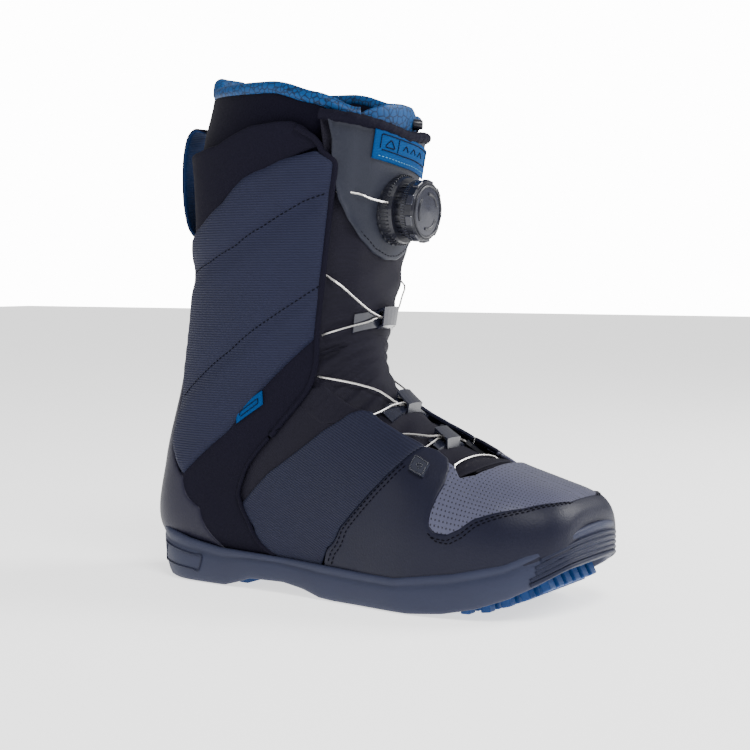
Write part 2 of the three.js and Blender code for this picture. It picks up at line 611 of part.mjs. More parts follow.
/** Stations per millimetre along the tongue's centre line. */
const perMm = (u) => 1 / tonguePoint(u + 0.5, 1).distanceTo(tonguePoint(u - 0.5, 1));

/** Control points of the tube under a flap between two neighbouring eyelets. */
function tubePoints(first, second, sign) {
  const [[u0, g0], [u1, g1]] = [EYELETS[first], EYELETS[second]];
  return [0, 0.2, 0.5, 0.8, 1].map((t) => {
    const set = TUBE_SET * Math.sin(Math.PI * t) ** 0.7;
    return upperPoint(u0 + (u1 - u0) * t, sign * (g0 + (g1 - g0) * t - set), TUBE_DEPTH);
  });
}

for (const [i, sideName, sign] of [0, 2, 4, 6].flatMap((k) => [[k, "lateral", -1], [k, "medial", 1]])) {
  const tube = bar(tubePoints(i, i + 1, sign), TUBE_RADIUS, 7, TUBE_RADIUS - LACE_TUBE_WALL);
  add(`lace_tube_${i / 2 + 1}_${sideName}`, tube, "plastic");
}

/** Guide on the tongue: a seat with end tabs and a loop that two laces cross in. */
function laceGuide(u, tabHalf, seatHeight, loopHeight) {
  const block = (half, height, low, high, steps = [1, 8]) => {
    const du = (height / 2) * perMm(u);
    return patch(tonguePoint, [u - du, u + du], [shareAt(u, half), shareAt(u, -half)], low, high, steps);
  };
  const top = GUIDE_SEAT + GUIDE_FLOOR;
  const seat = block(tabHalf, seatHeight, GUIDE_SEAT, top);
  const loop = block(LOOP_HALF, loopHeight, GUIDE_SEAT, top + GUIDE_SLOT + GUIDE_ROOF, [2, 4]);
  return seat.add(loop).subtract(block(LOOP_HALF + 1, loopHeight - 3.2, top, top + GUIDE_SLOT, [1, 4]));
}
add("lace_guide_upper", laceGuide(GUIDES[0], 25, 10, 12), "plastic");
add("lace_guide_middle", laceGuide(GUIDES[1], 24, 10, 12), "plastic");
add("lace_guide_instep", laceGuide(GUIDES[2], 18, 8, 11), "greyPlastic");

// ---- dial ----
const DIAL_HEIGHT = 21;
const DIAL_TILT = -4; // degrees above the horizon
const DIAL_STATION = 13.3;
const dialOrigin = tonguePoint(DIAL_STATION, 1, 0);
const tilt = THREE.MathUtils.degToRad(DIAL_TILT);
const DIAL_AXIS = new THREE.Vector3(Math.cos(tilt), 0, Math.sin(tilt));
const dialFrame = new THREE.Matrix4()
  .makeBasis(new THREE.Vector3(-DIAL_AXIS.z, 0, DIAL_AXIS.x), new THREE.Vector3(0, -1, 0), DIAL_AXIS)
  .setPosition(dialOrigin);

/** Point of the dial: up and to the outer side across its axis, out along it. */
const dialPoint = (up, outer, out) => new THREE.Vector3(up, outer, out).applyMatrix4(dialFrame);

/** Turned piece of the dial from a profile of [radius, distance along the axis]. */
function turned(profile, segments = 32) {
  const points = profile.map(([r, d]) => new THREE.Vector2(r, d));
  const geometry = new THREE.LatheGeometry(points, segments);
  return solidOf(geometry.rotateX(Math.PI / 2));
}

const closed = (profile) => [...profile, profile[0]];
const placed = (solid) => {
  const geometry = geometryOf(solid);
  geometry.applyMatrix4(dialFrame);
  return solidOf(geometry);
};

/** Copies of a block set round the axis. */
function aroundAxis(count, radius, size, low, high) {
  const blocks = Array.from({ length: count }, (_, i) => {
    const block = new THREE.BoxGeometry(size[0], size[1], high - low);
    return solidOf(block.translate(radius, 0, (low + high) / 2).rotateZ((2 * Math.PI * i) / count));
  });
  return blocks.reduce((all, one) => all.add(one));
}

const PORT_UP = 4;
const SPOOL_LOW = 2.4;
const SPOOL_HIGH = 7;
const LACE_LEVEL = (SPOOL_LOW + SPOOL_HIGH) / 2;
const COLLAR_TOP_LEVEL = 12;
const KNOB_LOW = COLLAR_TOP_LEVEL + DIAL_PLAY;
const WEB_LOW = KNOB_LOW + 2.4;
const SCREW_HEAD_LOW = WEB_LOW - FIT + KNOB_TRAVEL;
const CAP_LOW = DIAL_HEIGHT - 1.6;
const BORE = SPOOL_RADIUS + DIAL_PLAY;
const HUB = 6;

function dialBase() {
  const ring = [[0, -8], [DIAL_RADIUS + 3, -8], [DIAL_RADIUS + 3, 4], [DIAL_RADIUS + 1.5, 7.6]];
  const collar = [[DIAL_RADIUS - 2.4, 7.6], [DIAL_RADIUS - 2.4, COLLAR_TOP_LEVEL], [BORE, COLLAR_TOP_LEVEL]];
  const body = turned([...ring, ...collar, [BORE, 2], [0, 2]]);
  const seat = hull(FIT, { ...FLAT, from: 12, to: 15, rings: 8, sides: 40 });
  const ridges = aroundAxis(24, DIAL_RADIUS - 2.4, [1.2, 1.6], 7.2, COLLAR_TOP_LEVEL);
  const bare = placed(body.add(ridges)).subtract(seat);
  const ports = [-1, 1].map((sign) => {
    const ends = [dialPoint(PORT_UP, sign * 6, LACE_LEVEL), dialPoint(PORT_UP, sign * 30, LACE_LEVEL)];
    return bar(ends, LACE_RADIUS + LACE_PLAY + 0.3, 1);
  });
  const screwHole = placed(turned([[0, -9], [SCREW_RADIUS + FIT, -9], [SCREW_RADIUS + FIT, 5], [0, 5]], 12));
  return mainBody(bare.subtract(ports[0]).subtract(ports[1]).subtract(screwHole));
}

function dialPieces() {
  const hole = SCREW_RADIUS + DIAL_PLAY;
  const core = SPOOL_RADIUS - 3;
  const spool = closed([
    [hole, SPOOL_LOW], [SPOOL_RADIUS, SPOOL_LOW], [SPOOL_RADIUS, SPOOL_LOW + 0.9], [core, SPOOL_LOW + 1.3],
    [core, SPOOL_HIGH - 1.3], [SPOOL_RADIUS, SPOOL_HIGH - 0.9], [SPOOL_RADIUS, SPOOL_HIGH], [hole, SPOOL_HIGH],
  ]);
  const plate = [[DIAL_RADIUS - 5, KNOB_LOW], [DIAL_RADIUS - 5, WEB_LOW - FIT], [hole, WEB_LOW - FIT]];
  const ratchet = closed([[hole, SPOOL_HIGH + FIT], [HUB, SPOOL_HIGH + FIT], [HUB, KNOB_LOW], ...plate]);
  const screw = [
    [0, 1], [SCREW_RADIUS, 1], [SCREW_RADIUS, SCREW_HEAD_LOW], [HUB - 2, SCREW_HEAD_LOW],
    [HUB - 2, SCREW_HEAD_LOW + 1], [0, SCREW_HEAD_LOW + 1],
  ];
  const under = [[DIAL_RADIUS - 4.4, WEB_LOW], [DIAL_RADIUS - 4.4, KNOB_LOW], [DIAL_RADIUS, KNOB_LOW]];
  const lip = DIAL_RADIUS - 1.8;
  const grip = [[DIAL_RADIUS, DIAL_HEIGHT - 1.2], [DIAL_RADIUS - 1, DIAL_HEIGHT], [lip, DIAL_HEIGHT]];
  const knob = closed([[HUB, WEB_LOW], ...under, ...grip, [lip, CAP_LOW - FIT], [HUB, CAP_LOW - FIT]]);
  const face = lip - FIT;
  const cap = [[0, CAP_LOW], [face, CAP_LOW], [face, DIAL_HEIGHT], [0, DIAL_HEIGHT + 0.6]];
  const scallops = aroundAxis(8, DIAL_RADIUS + 1.1, [2.4, 5], KNOB_LOW - 1, DIAL_HEIGHT + 1);
  add("dial_base", dialBase(), "plastic");
  add("dial_spool", placed(turned(spool, 20)), "greyPlastic");
  add("dial_ratchet", placed(turned(ratchet, 20)), "greyPlastic");
  add("dial_screw", placed(turned(screw, 12)), "steel");
  add("dial_knob", placed(turned(knob).subtract(scallops)), "plastic");
  add("dial_cap", placed(turned(cap)), "plastic");
}
dialPieces();

// ---- lace ----
/** Points over the tongue from an eyelet to a guide, both given as [station, girth share]. */
function leg(eyelet, mouth) {
  const heights = [[0.25, LACE_OUT + 0.9], [0.5, LACE_OUT + 1.3], [0.77, LACE_OUT + 2]];
  return heights.map(([t, off]) => {
    return tonguePoint(eyelet[0] + (mouth[0] - eyelet[0]) * t, eyelet[1] + (mouth[1] - eyelet[1]) * t, off);
  });
}

/** Samples of a tube's own curve in the order that the lace runs through it, led straight out at both ends. */
function throughTube(first, sign) {
  const points = curveOf(tubePoints(first, first + 1, sign)).getSpacedPoints(7);
  const lead = (end, next) => end.clone().add(end.clone().sub(next).setLength(1.4));
  return [lead(points[0], points[1]), ...points, lead(points[7], points[6])];
}

/** Through a guide from one side to the other, rising or falling, above or below the other lace. */
function throughGuide(index, sign, over) {
  const u = GUIDES[index];
  const level = SLOT_MIDDLE + (over ? CROSS : -CROSS);
  return [1.2, 0, -1.2].map((t) => {
    const rise = (over ? t : -t) * 1.2 * perMm(u);
    return tonguePoint(u + rise, shareAt(u, sign * t * LOOP_HALF), level);
  });
}

/** Where the lace leaves a guide or enters it, as a place for a leg. */
function guideMouth(index, sign) {
  return [GUIDES[index], shareAt(GUIDES[index], sign * LOOP_HALF * 1.2)];
}

const eyeletPlace = (index, sign) => [EYELETS[index][0], 1 + (1 - EYELETS[index][1]) * -sign];

/** Half of the lace, from the dial on one side to the crossing at the toe. */
function halfLace(sign, over) {
  const points = [dialPoint(PORT_UP, -sign * 7.2, LACE_LEVEL), dialPoint(PORT_UP, -sign * 14, LACE_LEVEL)];
  points.push(dialPoint(PORT_UP, -sign * 24, LACE_LEVEL));
  let now = sign;
  points.push(tonguePoint(EYELETS[0][0] - 0.1, shareAt(EYELETS[0][0], now * 30), LACE_OUT + 1));
  points.push(tonguePoint(EYELETS[0][0] - 0.02, shareAt(EYELETS[0][0], now * 35.5), LACE_OUT + 0.6));
  points.push(...throughTube(0, now));
  [0, 1, 2].forEach((index) => {
    const entry = 2 * index + 1;
    points.push(...leg(eyeletPlace(entry, now), guideMouth(index, now)));
    points.push(...throughGuide(index, now, over));
    now = -now;
    points.push(...leg(eyeletPlace(entry + 1, now), guideMouth(index, now)).reverse());
    points.push(...throughTube(entry + 1, now));
  });
  return points;
}

function lace() {
  const outer = halfLace(-1, true);
  const inner = halfLace(1, false).reverse();
  const [u, g] = EYELETS.at(-1);
  const across = [0.14, 0.07, 0, -0.07, -0.14].map((d) => tonguePoint(u, 1 - d, LACE_OUT));
  return bar([...outer, ...across, ...inner], LACE_RADIUS, 220, 0, 5);
}
add("lace", lace(), "steel");

// ---- small pieces ----
function trims() {
  const seat = GUIDE_SEAT;
  const width = [shareAt(14.4, 32), shareAt(14.4, -32)];
  const low = Math.max(14.1, DIAL_STATION + (DIAL_RADIUS + 4) * perMm(DIAL_STATION));
  const high = 14.8 - (TONGUE_BINDING + FIT) * perMm(14.8);
  add("tongue_label", patch(tonguePoint, [low, high], width, 0.3, 1.3, [2, 10]), "blueFabric");
  const badge = patch(upperPoint, [4.82, 5.16], [0.722, 0.778], seat + 1, seat + 3, [2, 2]);
  add("badge_medial", badge, "rubber");
  add("badge_lateral", mirrorY(badge), "rubber");
  const lock = turned([[0, 0], [7, 0], [7, 3], [5.5, 5], [0, 5.4]], 16);
  const spot = tonguePoint(15.25, 1, LINER_OUT - FIT + 0.3);
  const out = new THREE.Vector3(0, -1, 0);
  const frame = new THREE.Matrix4().makeBasis(new THREE.Vector3(0, 0, 1), out, new THREE.Vector3(1, 0, 0));
  const geometry = geometryOf(lock).applyMatrix4(frame.setPosition(spot));
  add("liner_lace_lock", mainBody(solidOf(geometry).subtract(hull(LINER_OUT, FLAT))), "plastic");
  const rim = Array.from({ length: 25 }, (_, i) => rimPoint((i - 12) * 0.05));
  add("liner_rim", bar(rim, LINER_WALL / 2, 24, 0, 8), "blueFabric");
}

trims();

// ---- origin: middle of the outline on the floor ----
const box = new THREE.Box3().setFromObject(boot);
const middle = box.getCenter(new THREE.Vector3());
const lowest = box.min.z;
boot.children.forEach((mesh) => mesh.geometry.translate(-middle.x, -middle.y, -lowest));

export default boot;
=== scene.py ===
"""Looks of a dial-laced snowboard boot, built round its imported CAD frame.

Sizes are in millimetres until a mesh is made. A place on the boot is (station, girth share): stations run
from the toe (0) round the heel to the collar (16), and the girth share runs from 0 at the sole or back to 1 at
the instep or shin, negative on the outer side.
"""

import json
import logging
import math
from dataclasses import dataclass
from enum import Enum
from typing import Callable, Sequence

import bmesh
import bpy
import numpy as np
from mathutils import Matrix, Vector
from mathutils.geometry import delaunay_2d_cdt

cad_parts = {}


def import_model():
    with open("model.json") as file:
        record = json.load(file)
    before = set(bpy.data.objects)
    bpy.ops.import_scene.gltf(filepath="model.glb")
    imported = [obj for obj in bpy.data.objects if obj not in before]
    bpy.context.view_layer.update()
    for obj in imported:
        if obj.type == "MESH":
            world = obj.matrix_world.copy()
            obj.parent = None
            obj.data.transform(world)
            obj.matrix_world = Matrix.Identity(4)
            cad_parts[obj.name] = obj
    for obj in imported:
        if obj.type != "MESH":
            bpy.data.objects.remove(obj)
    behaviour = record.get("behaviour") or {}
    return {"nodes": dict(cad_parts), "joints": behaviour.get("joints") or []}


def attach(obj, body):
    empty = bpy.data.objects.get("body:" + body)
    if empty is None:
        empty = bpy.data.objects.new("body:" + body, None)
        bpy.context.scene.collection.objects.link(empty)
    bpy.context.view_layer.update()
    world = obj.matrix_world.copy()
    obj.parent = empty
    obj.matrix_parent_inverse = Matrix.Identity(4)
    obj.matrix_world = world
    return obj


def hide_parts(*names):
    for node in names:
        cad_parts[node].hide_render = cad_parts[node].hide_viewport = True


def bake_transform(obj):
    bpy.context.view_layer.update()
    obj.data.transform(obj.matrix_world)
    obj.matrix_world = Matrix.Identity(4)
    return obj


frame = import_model()
LOG = logging.getLogger("boot")
MM = 0.001
ANKLE = Vector((103.0, 0.0, 92.0))
ORIGIN = ANKLE - Vector(frame["joints"][0]["pos_m"]) / MM
Place = tuple[float, float]
Array = np.ndarray


class Side(Enum):
    """Side of the boot; the value is the sign of y."""

    LATERAL = -1
    MEDIAL = 1

    @property
    def label(self) -> str:
        """Lower-case name used in piece names.

        Returns:
            The name.
        """
        return self.name.lower()


# ---------------------------------------------------------------- surface of the boot


class Last:
    """Smooth surface of the upper, lofted through stations."""

    # sole or back x z, instep or shin x z, half width, middle y, widest share, lower and upper squareness
    ROWS = np.array(
        [
            [299, 34, 298, 50, 16, 9, 0.50, 0.60, 0.60],
            [296, 19, 296, 60, 34, 7, 0.42, 0.50, 0.62],
            [285, 11, 287, 68, 46, 5, 0.38, 0.42, 0.66],
            [265, 8, 267, 75, 54, 2, 0.36, 0.38, 0.72],
            [238, 7, 241, 84, 57, 1, 0.34, 0.36, 0.80],
            [205, 7, 213, 98, 57, 0, 0.32, 0.36, 0.86],
            [165, 9, 190, 115, 51, 0, 0.30, 0.38, 0.90],
            [118, 10, 175, 129, 46, 0, 0.32, 0.42, 0.92],
            [60, 10, 170, 140, 43, 0, 0.36, 0.50, 0.92],
            [8, 26, 169, 148, 42, 0, 0.42, 0.62, 0.92],
            [6, 70, 169, 156, 43, 0, 0.46, 0.80, 0.94],
            [18, 120, 171, 168, 46, 0, 0.48, 0.92, 0.96],
            [29, 165, 174, 190, 50, 0, 0.49, 0.90, 0.90],
            [33, 210, 179, 222, 53, 0, 0.50, 0.86, 0.86],
            [32, 250, 184, 252, 54, 0, 0.50, 0.84, 0.84],
            [28, 284, 190, 282, 55, 0, 0.50, 0.84, 0.84],
            [25, 312, 194, 310, 55, 0, 0.50, 0.84, 0.84],
        ]
    )
    TONGUE_DENT = 9.0
    DENT_SPAN = 0.26

    def rows(self, u: Array) -> Array:
        """Station values at u.

        Args:
            u: stations, any shape.

        Returns:
            The nine columns, with a last axis of nine.
        """
        u = np.clip(np.asarray(u, float), 0, 16)
        i = np.minimum(u.astype(int), 15)
        t = (u - i)[..., None]
        p, a = self.ROWS[np.maximum(i - 1, 0)], self.ROWS[i]
        b, n = self.ROWS[i + 1], self.ROWS[np.minimum(i + 2, 16)]
        return a + 0.5 * ((b - p) * t + (2 * p - 5 * a + 4 * b - n) * t**2 + (3 * a - p - 3 * b + n) * t**3)

    def points(self, u: Array, g: Array, off: Array | float = 0.0) -> Array:
        """Points of the upper's surface.

        Args:
            u: stations.
            g: girth shares.
            off: distance out of the surface.

        Returns:
            Points with a last axis of three, in millimetres.
        """
        u, g, off = np.broadcast_arrays(np.asarray(u, float), np.asarray(g, float), np.asarray(off, float))
        bx, bz, fx, fz, half, yc, widest, low, high = np.moveaxis(self.rows(u), -1, 0)
        c, s = -np.cos(g * np.pi), np.sin(g * np.pi)
        q = np.where(c < 0, low, high)
        along = np.abs(c) ** q
        t = np.where(c < 0, widest * (1 - along), widest + (1 - widest) * along)
        length = np.hypot(fx - bx, fz - bz)
        dx, dz = (fx - bx) / length, (fz - bz) / length
        d = -off + (length + 2 * off) * t
        toe = off * (1 - np.minimum(u / 2, 1))
        y = yc + np.sign(s) * (half + off) * np.abs(s) ** q
        return np.stack([bx + dx * d + toe, y, bz + dz * d], -1)

    def dent(self, u: Array, g: Array) -> Array:
        """How far the tongue's flat front lies inside the upper's round front.

        Args:
            u: stations.
            g: girth shares.

        Returns:
            Depths in millimetres.
        """
        share = np.minimum(np.abs(np.abs(g) - 1) / self.DENT_SPAN, 1)
        flatness = 4 - 2 * smooth(u, 8, 10)
        return self.TONGUE_DENT * (1 - share**flatness) * smooth(u, 3.8, 5)

    def tongue_points(self, u: Array, g: Array, off: Array | float = 0.0) -> Array:
        """Points of the tongue's surface, moved out of it by off.

        Args:
            u: stations.
            g: girth shares.
            off: height above the surface.

        Returns:
            Points with a last axis of three, in millimetres.
        """
        return self.points(u, g, off - self.dent(np.asarray(u, float), np.asarray(g, float)))

    def share(self, u: float, across: float) -> float:
        """Girth share of a point at a distance across from the centre line, above 1 on the outer side.

        Args:
            u: station.
            across: distance in millimetres, negative on the outer side.

        Returns:
            The girth share.
        """
        row = self.rows(np.array(u))
        s = min((abs(across) / (row[4] - 1)) ** (1 / row[8]), 1.0)
        return 1 - math.copysign(math.asin(s) / math.pi, across)

    def place(self, x: float, z: float) -> Place:
        """Place on the inner side whose side view is (x, z), nearest where it is outside the outline.

        Args:
            x: distance forward.
            z: height.

        Returns:
            Station and girth share.
        """
        u, g = np.meshgrid(np.linspace(0, 16, 321), np.linspace(0, 1, 161), indexing="ij")
        p = self.points(u, g)
        far = (p[..., 0] - x) ** 2 + (p[..., 2] - z) ** 2
        k = np.unravel_index(np.argmin(far), far.shape)
        best = (float(u[k]), float(g[k]))
        fine_u = np.linspace(best[0] - 0.05, best[0] + 0.05, 21)
        fine_g = np.clip(np.linspace(best[1] - 0.01, best[1] + 0.01, 21), 0, 1)
        u, g = np.meshgrid(fine_u, fine_g, indexing="ij")
        p = self.points(u, g)
        k = np.unravel_index(np.argmin((p[..., 0] - x) ** 2 + (p[..., 2] - z) ** 2), u.shape)
        return float(u[k]), float(g[k])


def smooth(x: Array | float, low: float, high: float) -> Array:
    """Smooth step from 0 at low to 1 at high.

    Args:
        x: values.
        low: where the step starts.
        high: where it ends.

    Returns:
        Values from 0 to 1.
    """
    t = np.clip((np.asarray(x, float) - low) / (high - low), 0, 1)
    return t * t * (3 - 2 * t)


LAST = Last()


# ---------------------------------------------------------------- mesh tools


def world(points: Array) -> Array:
    """Millimetres in the boot's own axes to metres in the row frame.

    Args:
        points: points in millimetres.

    Returns:
        The points in metres.
    """
    return (np.asarray(points, float) - np.array(ORIGIN)) * MM


def link(
    name: str, bm: bmesh.types.BMesh, material: bpy.types.Material | None, flat: bool = False
) -> bpy.types.Object:
    """Makes an object of a bmesh.

    Args:
        name: the piece's name.
        bm: its mesh, in metres; freed here.
        material: its finish.
        flat: True keeps faces flat.

    Returns:
        The linked object.
    """
    bmesh.ops.recalc_face_normals(bm, faces=bm.faces)
    for face in bm.faces:
        face.smooth = not flat
    mesh = bpy.data.meshes.new(name)
    bm.to_mesh(mesh)
    bm.free()
    piece = bpy.data.objects.new(name, mesh)
    bpy.context.scene.collection.objects.link(piece)
    if material:
        mesh.materials.append(material)
    LOG.info("piece %s", name)
    return piece


def modifier(piece: bpy.types.Object, kind: str, **values: object) -> bpy.types.Modifier:
    """Adds a modifier and sets its values.

    Args:
        piece: piece that gets it.
        kind: modifier type.
        values: its settings.

    Returns:
        The modifier.
    """
    made = piece.modifiers.new(kind.title(), kind)
    for key, value in values.items():
        setattr(made, key, value)
    return made


def dense(path: Sequence[Place], step: float, closed: bool = False) -> Array:
    """Resamples a polyline of places at an even step in its own units.

    Args:
        path: corners in order.
        step: distance between points.
        closed: True joins the ends.

    Returns:
        The points.
    """
    points = np.array(path, float)
    if closed:
        points = np.vstack([points, points[:1]])
    lengths = np.hypot(*np.diff(points, axis=0).T)
    at = np.concatenate([[0], np.cumsum(lengths)])
    count = max(2, int(round(at[-1] / step)) + 1)
    t = np.linspace(0, at[-1], count)
    out = np.stack([np.interp(t, at, points[:, k]) for k in range(points.shape[1])], -1)
    return out[:-1] if closed else out


def rounded(path: Sequence[Place], times: int = 2, closed: bool = False) -> list[Place]:
    """Rounds a polyline's corners by cutting them, keeping its ends.

    Args:
        path: corners in order.
        times: how often corners are cut.
        closed: True joins the ends.

    Returns:
        The rounded line.
    """
    points = [tuple(p) for p in path]
    for _ in range(times):
        pairs = list(zip(points, points[1:] + points[:1])) if closed else list(zip(points, points[1:]))
        cut = []
        for a, b in pairs:
            cut.append(tuple(0.75 * p + 0.25 * q for p, q in zip(a, b)))
            cut.append(tuple(0.25 * p + 0.75 * q for p, q in zip(a, b)))
        points = cut if closed else [points[0], *cut[1:-1], points[-1]]
    return points


SCALE = np.array([42.0, 175.0])  # plane millimetres per station and per girth share


def border_distance(points: Array, outline: Array) -> Array:
    """Distance from each point to a closed outline.

    Args:
        points: points on a plane.
        outline: closed outline on it.

    Returns:
        One distance for each point.
    """
    a, b = outline, np.roll(outline, -1, axis=0)
    ab = b - a
    best = np.full(len(points), 1e9)
    for start, edge in zip(a, ab):
        t = np.clip(((points - start) @ edge) / max(edge @ edge, 1e-9), 0, 1)
        best = np.minimum(best, np.hypot(*(points - start - t[:, None] * edge).T))
    return best


def inside(points: Array, outline: Array) -> Array:
    """True for the points inside a closed outline.

    Args:
        points: points on a plane.
        outline: closed outline on it.

    Returns:
        One truth value for each point.
    """
    x, y = points.T
    found = np.zeros(len(points), bool)
    for (x0, y0), (x1, y1) in zip(outline, np.roll(outline, -1, axis=0)):
        crosses = (y0 > y) != (y1 > y)
        with np.errstate(divide="ignore", invalid="ignore"):
            found ^= crosses & (x < (x1 - x0) * (y - y0) / (y1 - y0) + x0)
    return found


@dataclass
class Panel:
    """Curved piece of cloth or leather that lies on the boot.

    Attributes:
        name: piece name.
        outline: closed outline of places.
        material: finish.
        off: height of its face above the surface.
        thick: thickness.
        edge: how far the face drops at its border.
        roll: width of the rounded border.
        step: mesh size.
        surface: function of (u, g, off) that gives points.
        relief: extra height as a function of (u, g).
    """

    name: str
    outline: Sequence[Place]
    material: bpy.types.Material
    off: float = 0.0
    thick: float = 2.0
    edge: float = 0.7
    roll: float = 2.6
    step: float = 3.4
    surface: Callable[[Array, Array, Array], Array] = LAST.points
    relief: Callable[[Array, Array], Array] | None = None

    def build(self) -> bpy.types.Object:
        """Cuts the panel from the surface and gives it thickness.

        Returns:
            The panel's object.
        """
        plane = dense(np.array(self.outline) * SCALE, self.step * 0.7, closed=True)
        low, high = plane.min(0), plane.max(0)
        rows = np.arange(low[0], high[0], self.step * 0.87)
        grid = [
            (r, c)
            for k, r in enumerate(rows)
            for c in np.arange(low[1] + (k % 2) * self.step / 2, high[1], self.step)
        ]
        grid = np.array(grid).reshape(-1, 2)
        keep = inside(grid, plane)
        grid = grid[keep]
        if len(grid):
            grid = grid[border_distance(grid, plane) > self.step * 0.5]
        rim = [self._inset(plane, width) for width in (0.8, 1.7)]
        verts = np.vstack([plane, *rim, grid]) if len(grid) else np.vstack([plane, *rim])
        count = len(plane)
        edges = [(i, (i + 1) % count) for i in range(count)]
        places, _, faces, *_ = delaunay_2d_cdt([Vector(v) for v in verts], edges, [], 1, 1e-4)
        return self._mesh(np.array([tuple(p) for p in places]), faces, plane)

    def _inset(self, plane: Array, width: float) -> Array:
        """Points a little inside the outline, which carry the rounded border.

        Args:
            plane: the panel's outline on the plane.
            width: distance inside it.

        Returns:
            The points.
        """
        tangent = np.roll(plane, -1, 0) - np.roll(plane, 1, 0)
        tangent /= np.maximum(np.linalg.norm(tangent, axis=1, keepdims=True), 1e-9)
        normal = np.stack([-tangent[:, 1], tangent[:, 0]], -1)
        area = 0.5 * np.sum(plane[:, 0] * np.roll(plane[:, 1], -1) - np.roll(plane[:, 0], -1) * plane[:, 1])
        ring = plane + normal * width * (1 if area > 0 else -1)
        good = inside(ring, plane)
        ring = ring[good]
        return ring[border_distance(ring, plane) > width * 0.8] if len(ring) else ring

    def _mesh(self, places: Array, faces: list[list[int]], plane: Array) -> bpy.types.Object:
        """Lifts the flat mesh on to the boot.

        Args:
            places: points on the plane.
            faces: corners of each face.
            plane: the panel's outline on the plane.

        Returns:
            The panel's object.
        """
        u, g = (places / SCALE).T
        border = border_distance(places, plane)
        off = self.off - self.edge * (
            1 - np.sqrt(np.clip(1 - (1 - np.clip(border / self.roll, 0, 1)) ** 2, 0, 1))
        )
        if self.relief:
            off = off + self.relief(u, g) * smooth(border, 0, 4)
        points = world(self.surface(u, g, off))
        bm = bmesh.new()
        verts = [bm.verts.new(p) for p in points]
        uv = bm.loops.layers.uv.new("UVMap")
        for face in faces:
            made = bm.faces.new([verts[i] for i in face])
            for loop, i in zip(made.loops, face):
                loop[uv].uv = (places[i][1] * MM, places[i][0] * MM)
        piece = link(self.name, bm, self.material)
        outward = world(
            self.surface(u.mean(), g.mean(), 5.0)
        ) - world(self.surface(u.mean(), g.mean(), 0.0))
        self._face_out(piece, Vector(outward))
        modifier(piece, "SOLIDIFY", thickness=self.thick * MM, offset=-1.0, use_even_offset=False)
        return piece

    def _face_out(self, piece: bpy.types.Object, outward: Vector) -> None:
        """Turns the sheet's faces so that thickness goes inwards.

        Args:
            piece: the panel.
            outward: direction away from the boot.
        """
        mesh = piece.data
        centre = sum((v.co for v in mesh.vertices), Vector()) / len(mesh.vertices)
        near = min(mesh.polygons, key=lambda f: (f.center - centre).length)
        if near.normal.dot(outward) < 0:
            mesh.flip_normals()


def tube(
    name: str, points: Array, radius: float, material: bpy.types.Material, sides: int = 10
) -> bpy.types.Object:
    """Round bar along points in millimetres, as a mesh with capped ends.

    Args:
        name: piece name.
        points: points along it.
        radius: radius in millimetres.
        material: its finish.
        sides: about how many sides its section has.

    Returns:
        The bar's object.
    """
    curve = bpy.data.curves.new(name, "CURVE")
    curve.dimensions = "3D"
    curve.bevel_depth = radius * MM
    curve.bevel_resolution = max(1, sides // 2 - 2)
    curve.use_fill_caps = True
    spline = curve.splines.new("POLY")
    placed = world(points)
    spline.points.add(len(placed) - 1)
    for point, co in zip(spline.points, placed):
        point.co = (*co, 1)
    holder = bpy.data.objects.new(name + "_curve", curve)
    bpy.context.scene.collection.objects.link(holder)
    mesh = bpy.data.meshes.new_from_object(holder.evaluated_get(bpy.context.evaluated_depsgraph_get()))
    bpy.data.objects.remove(holder)
    bpy.data.curves.remove(curve)
    bm = bmesh.new()
    bm.from_mesh(mesh)
    bpy.data.meshes.remove(mesh)
    bmesh.ops.remove_doubles(bm, verts=bm.verts, dist=1e-6)
    return link(name, bm, material)


def spline(points: Array, step: float = 1.5) -> Array:
    """Smooth curve through points, resampled at a step in millimetres.

    Args:
        points: points in millimetres.
        step: distance between points.

    Returns:
        The curve's points.
    """
    points = np.asarray(points, float)
    p = np.vstack([2 * points[0] - points[1], points, 2 * points[-1] - points[-2]])
    out = []
    for i in range(1, len(p) - 2):
        t = np.linspace(0, 1, 12, endpoint=False)[:, None]
        a, b, c, d = p[i - 1], p[i], p[i + 1], p[i + 2]
        out.append(
            b + 0.5 * ((c - a) * t + (2 * a - 5 * b + 4 * c - d) * t**2 + (3 * b - a - 3 * c + d) * t**3)
        )
    curve = np.vstack([*out, p[-2][None]])
    at = np.concatenate([[0], np.cumsum(np.linalg.norm(np.diff(curve, axis=0), axis=1))])
    t = np.linspace(0, at[-1], max(3, int(at[-1] / step) + 1))
    return np.stack([np.interp(t, at, curve[:, k]) for k in range(3)], -1)


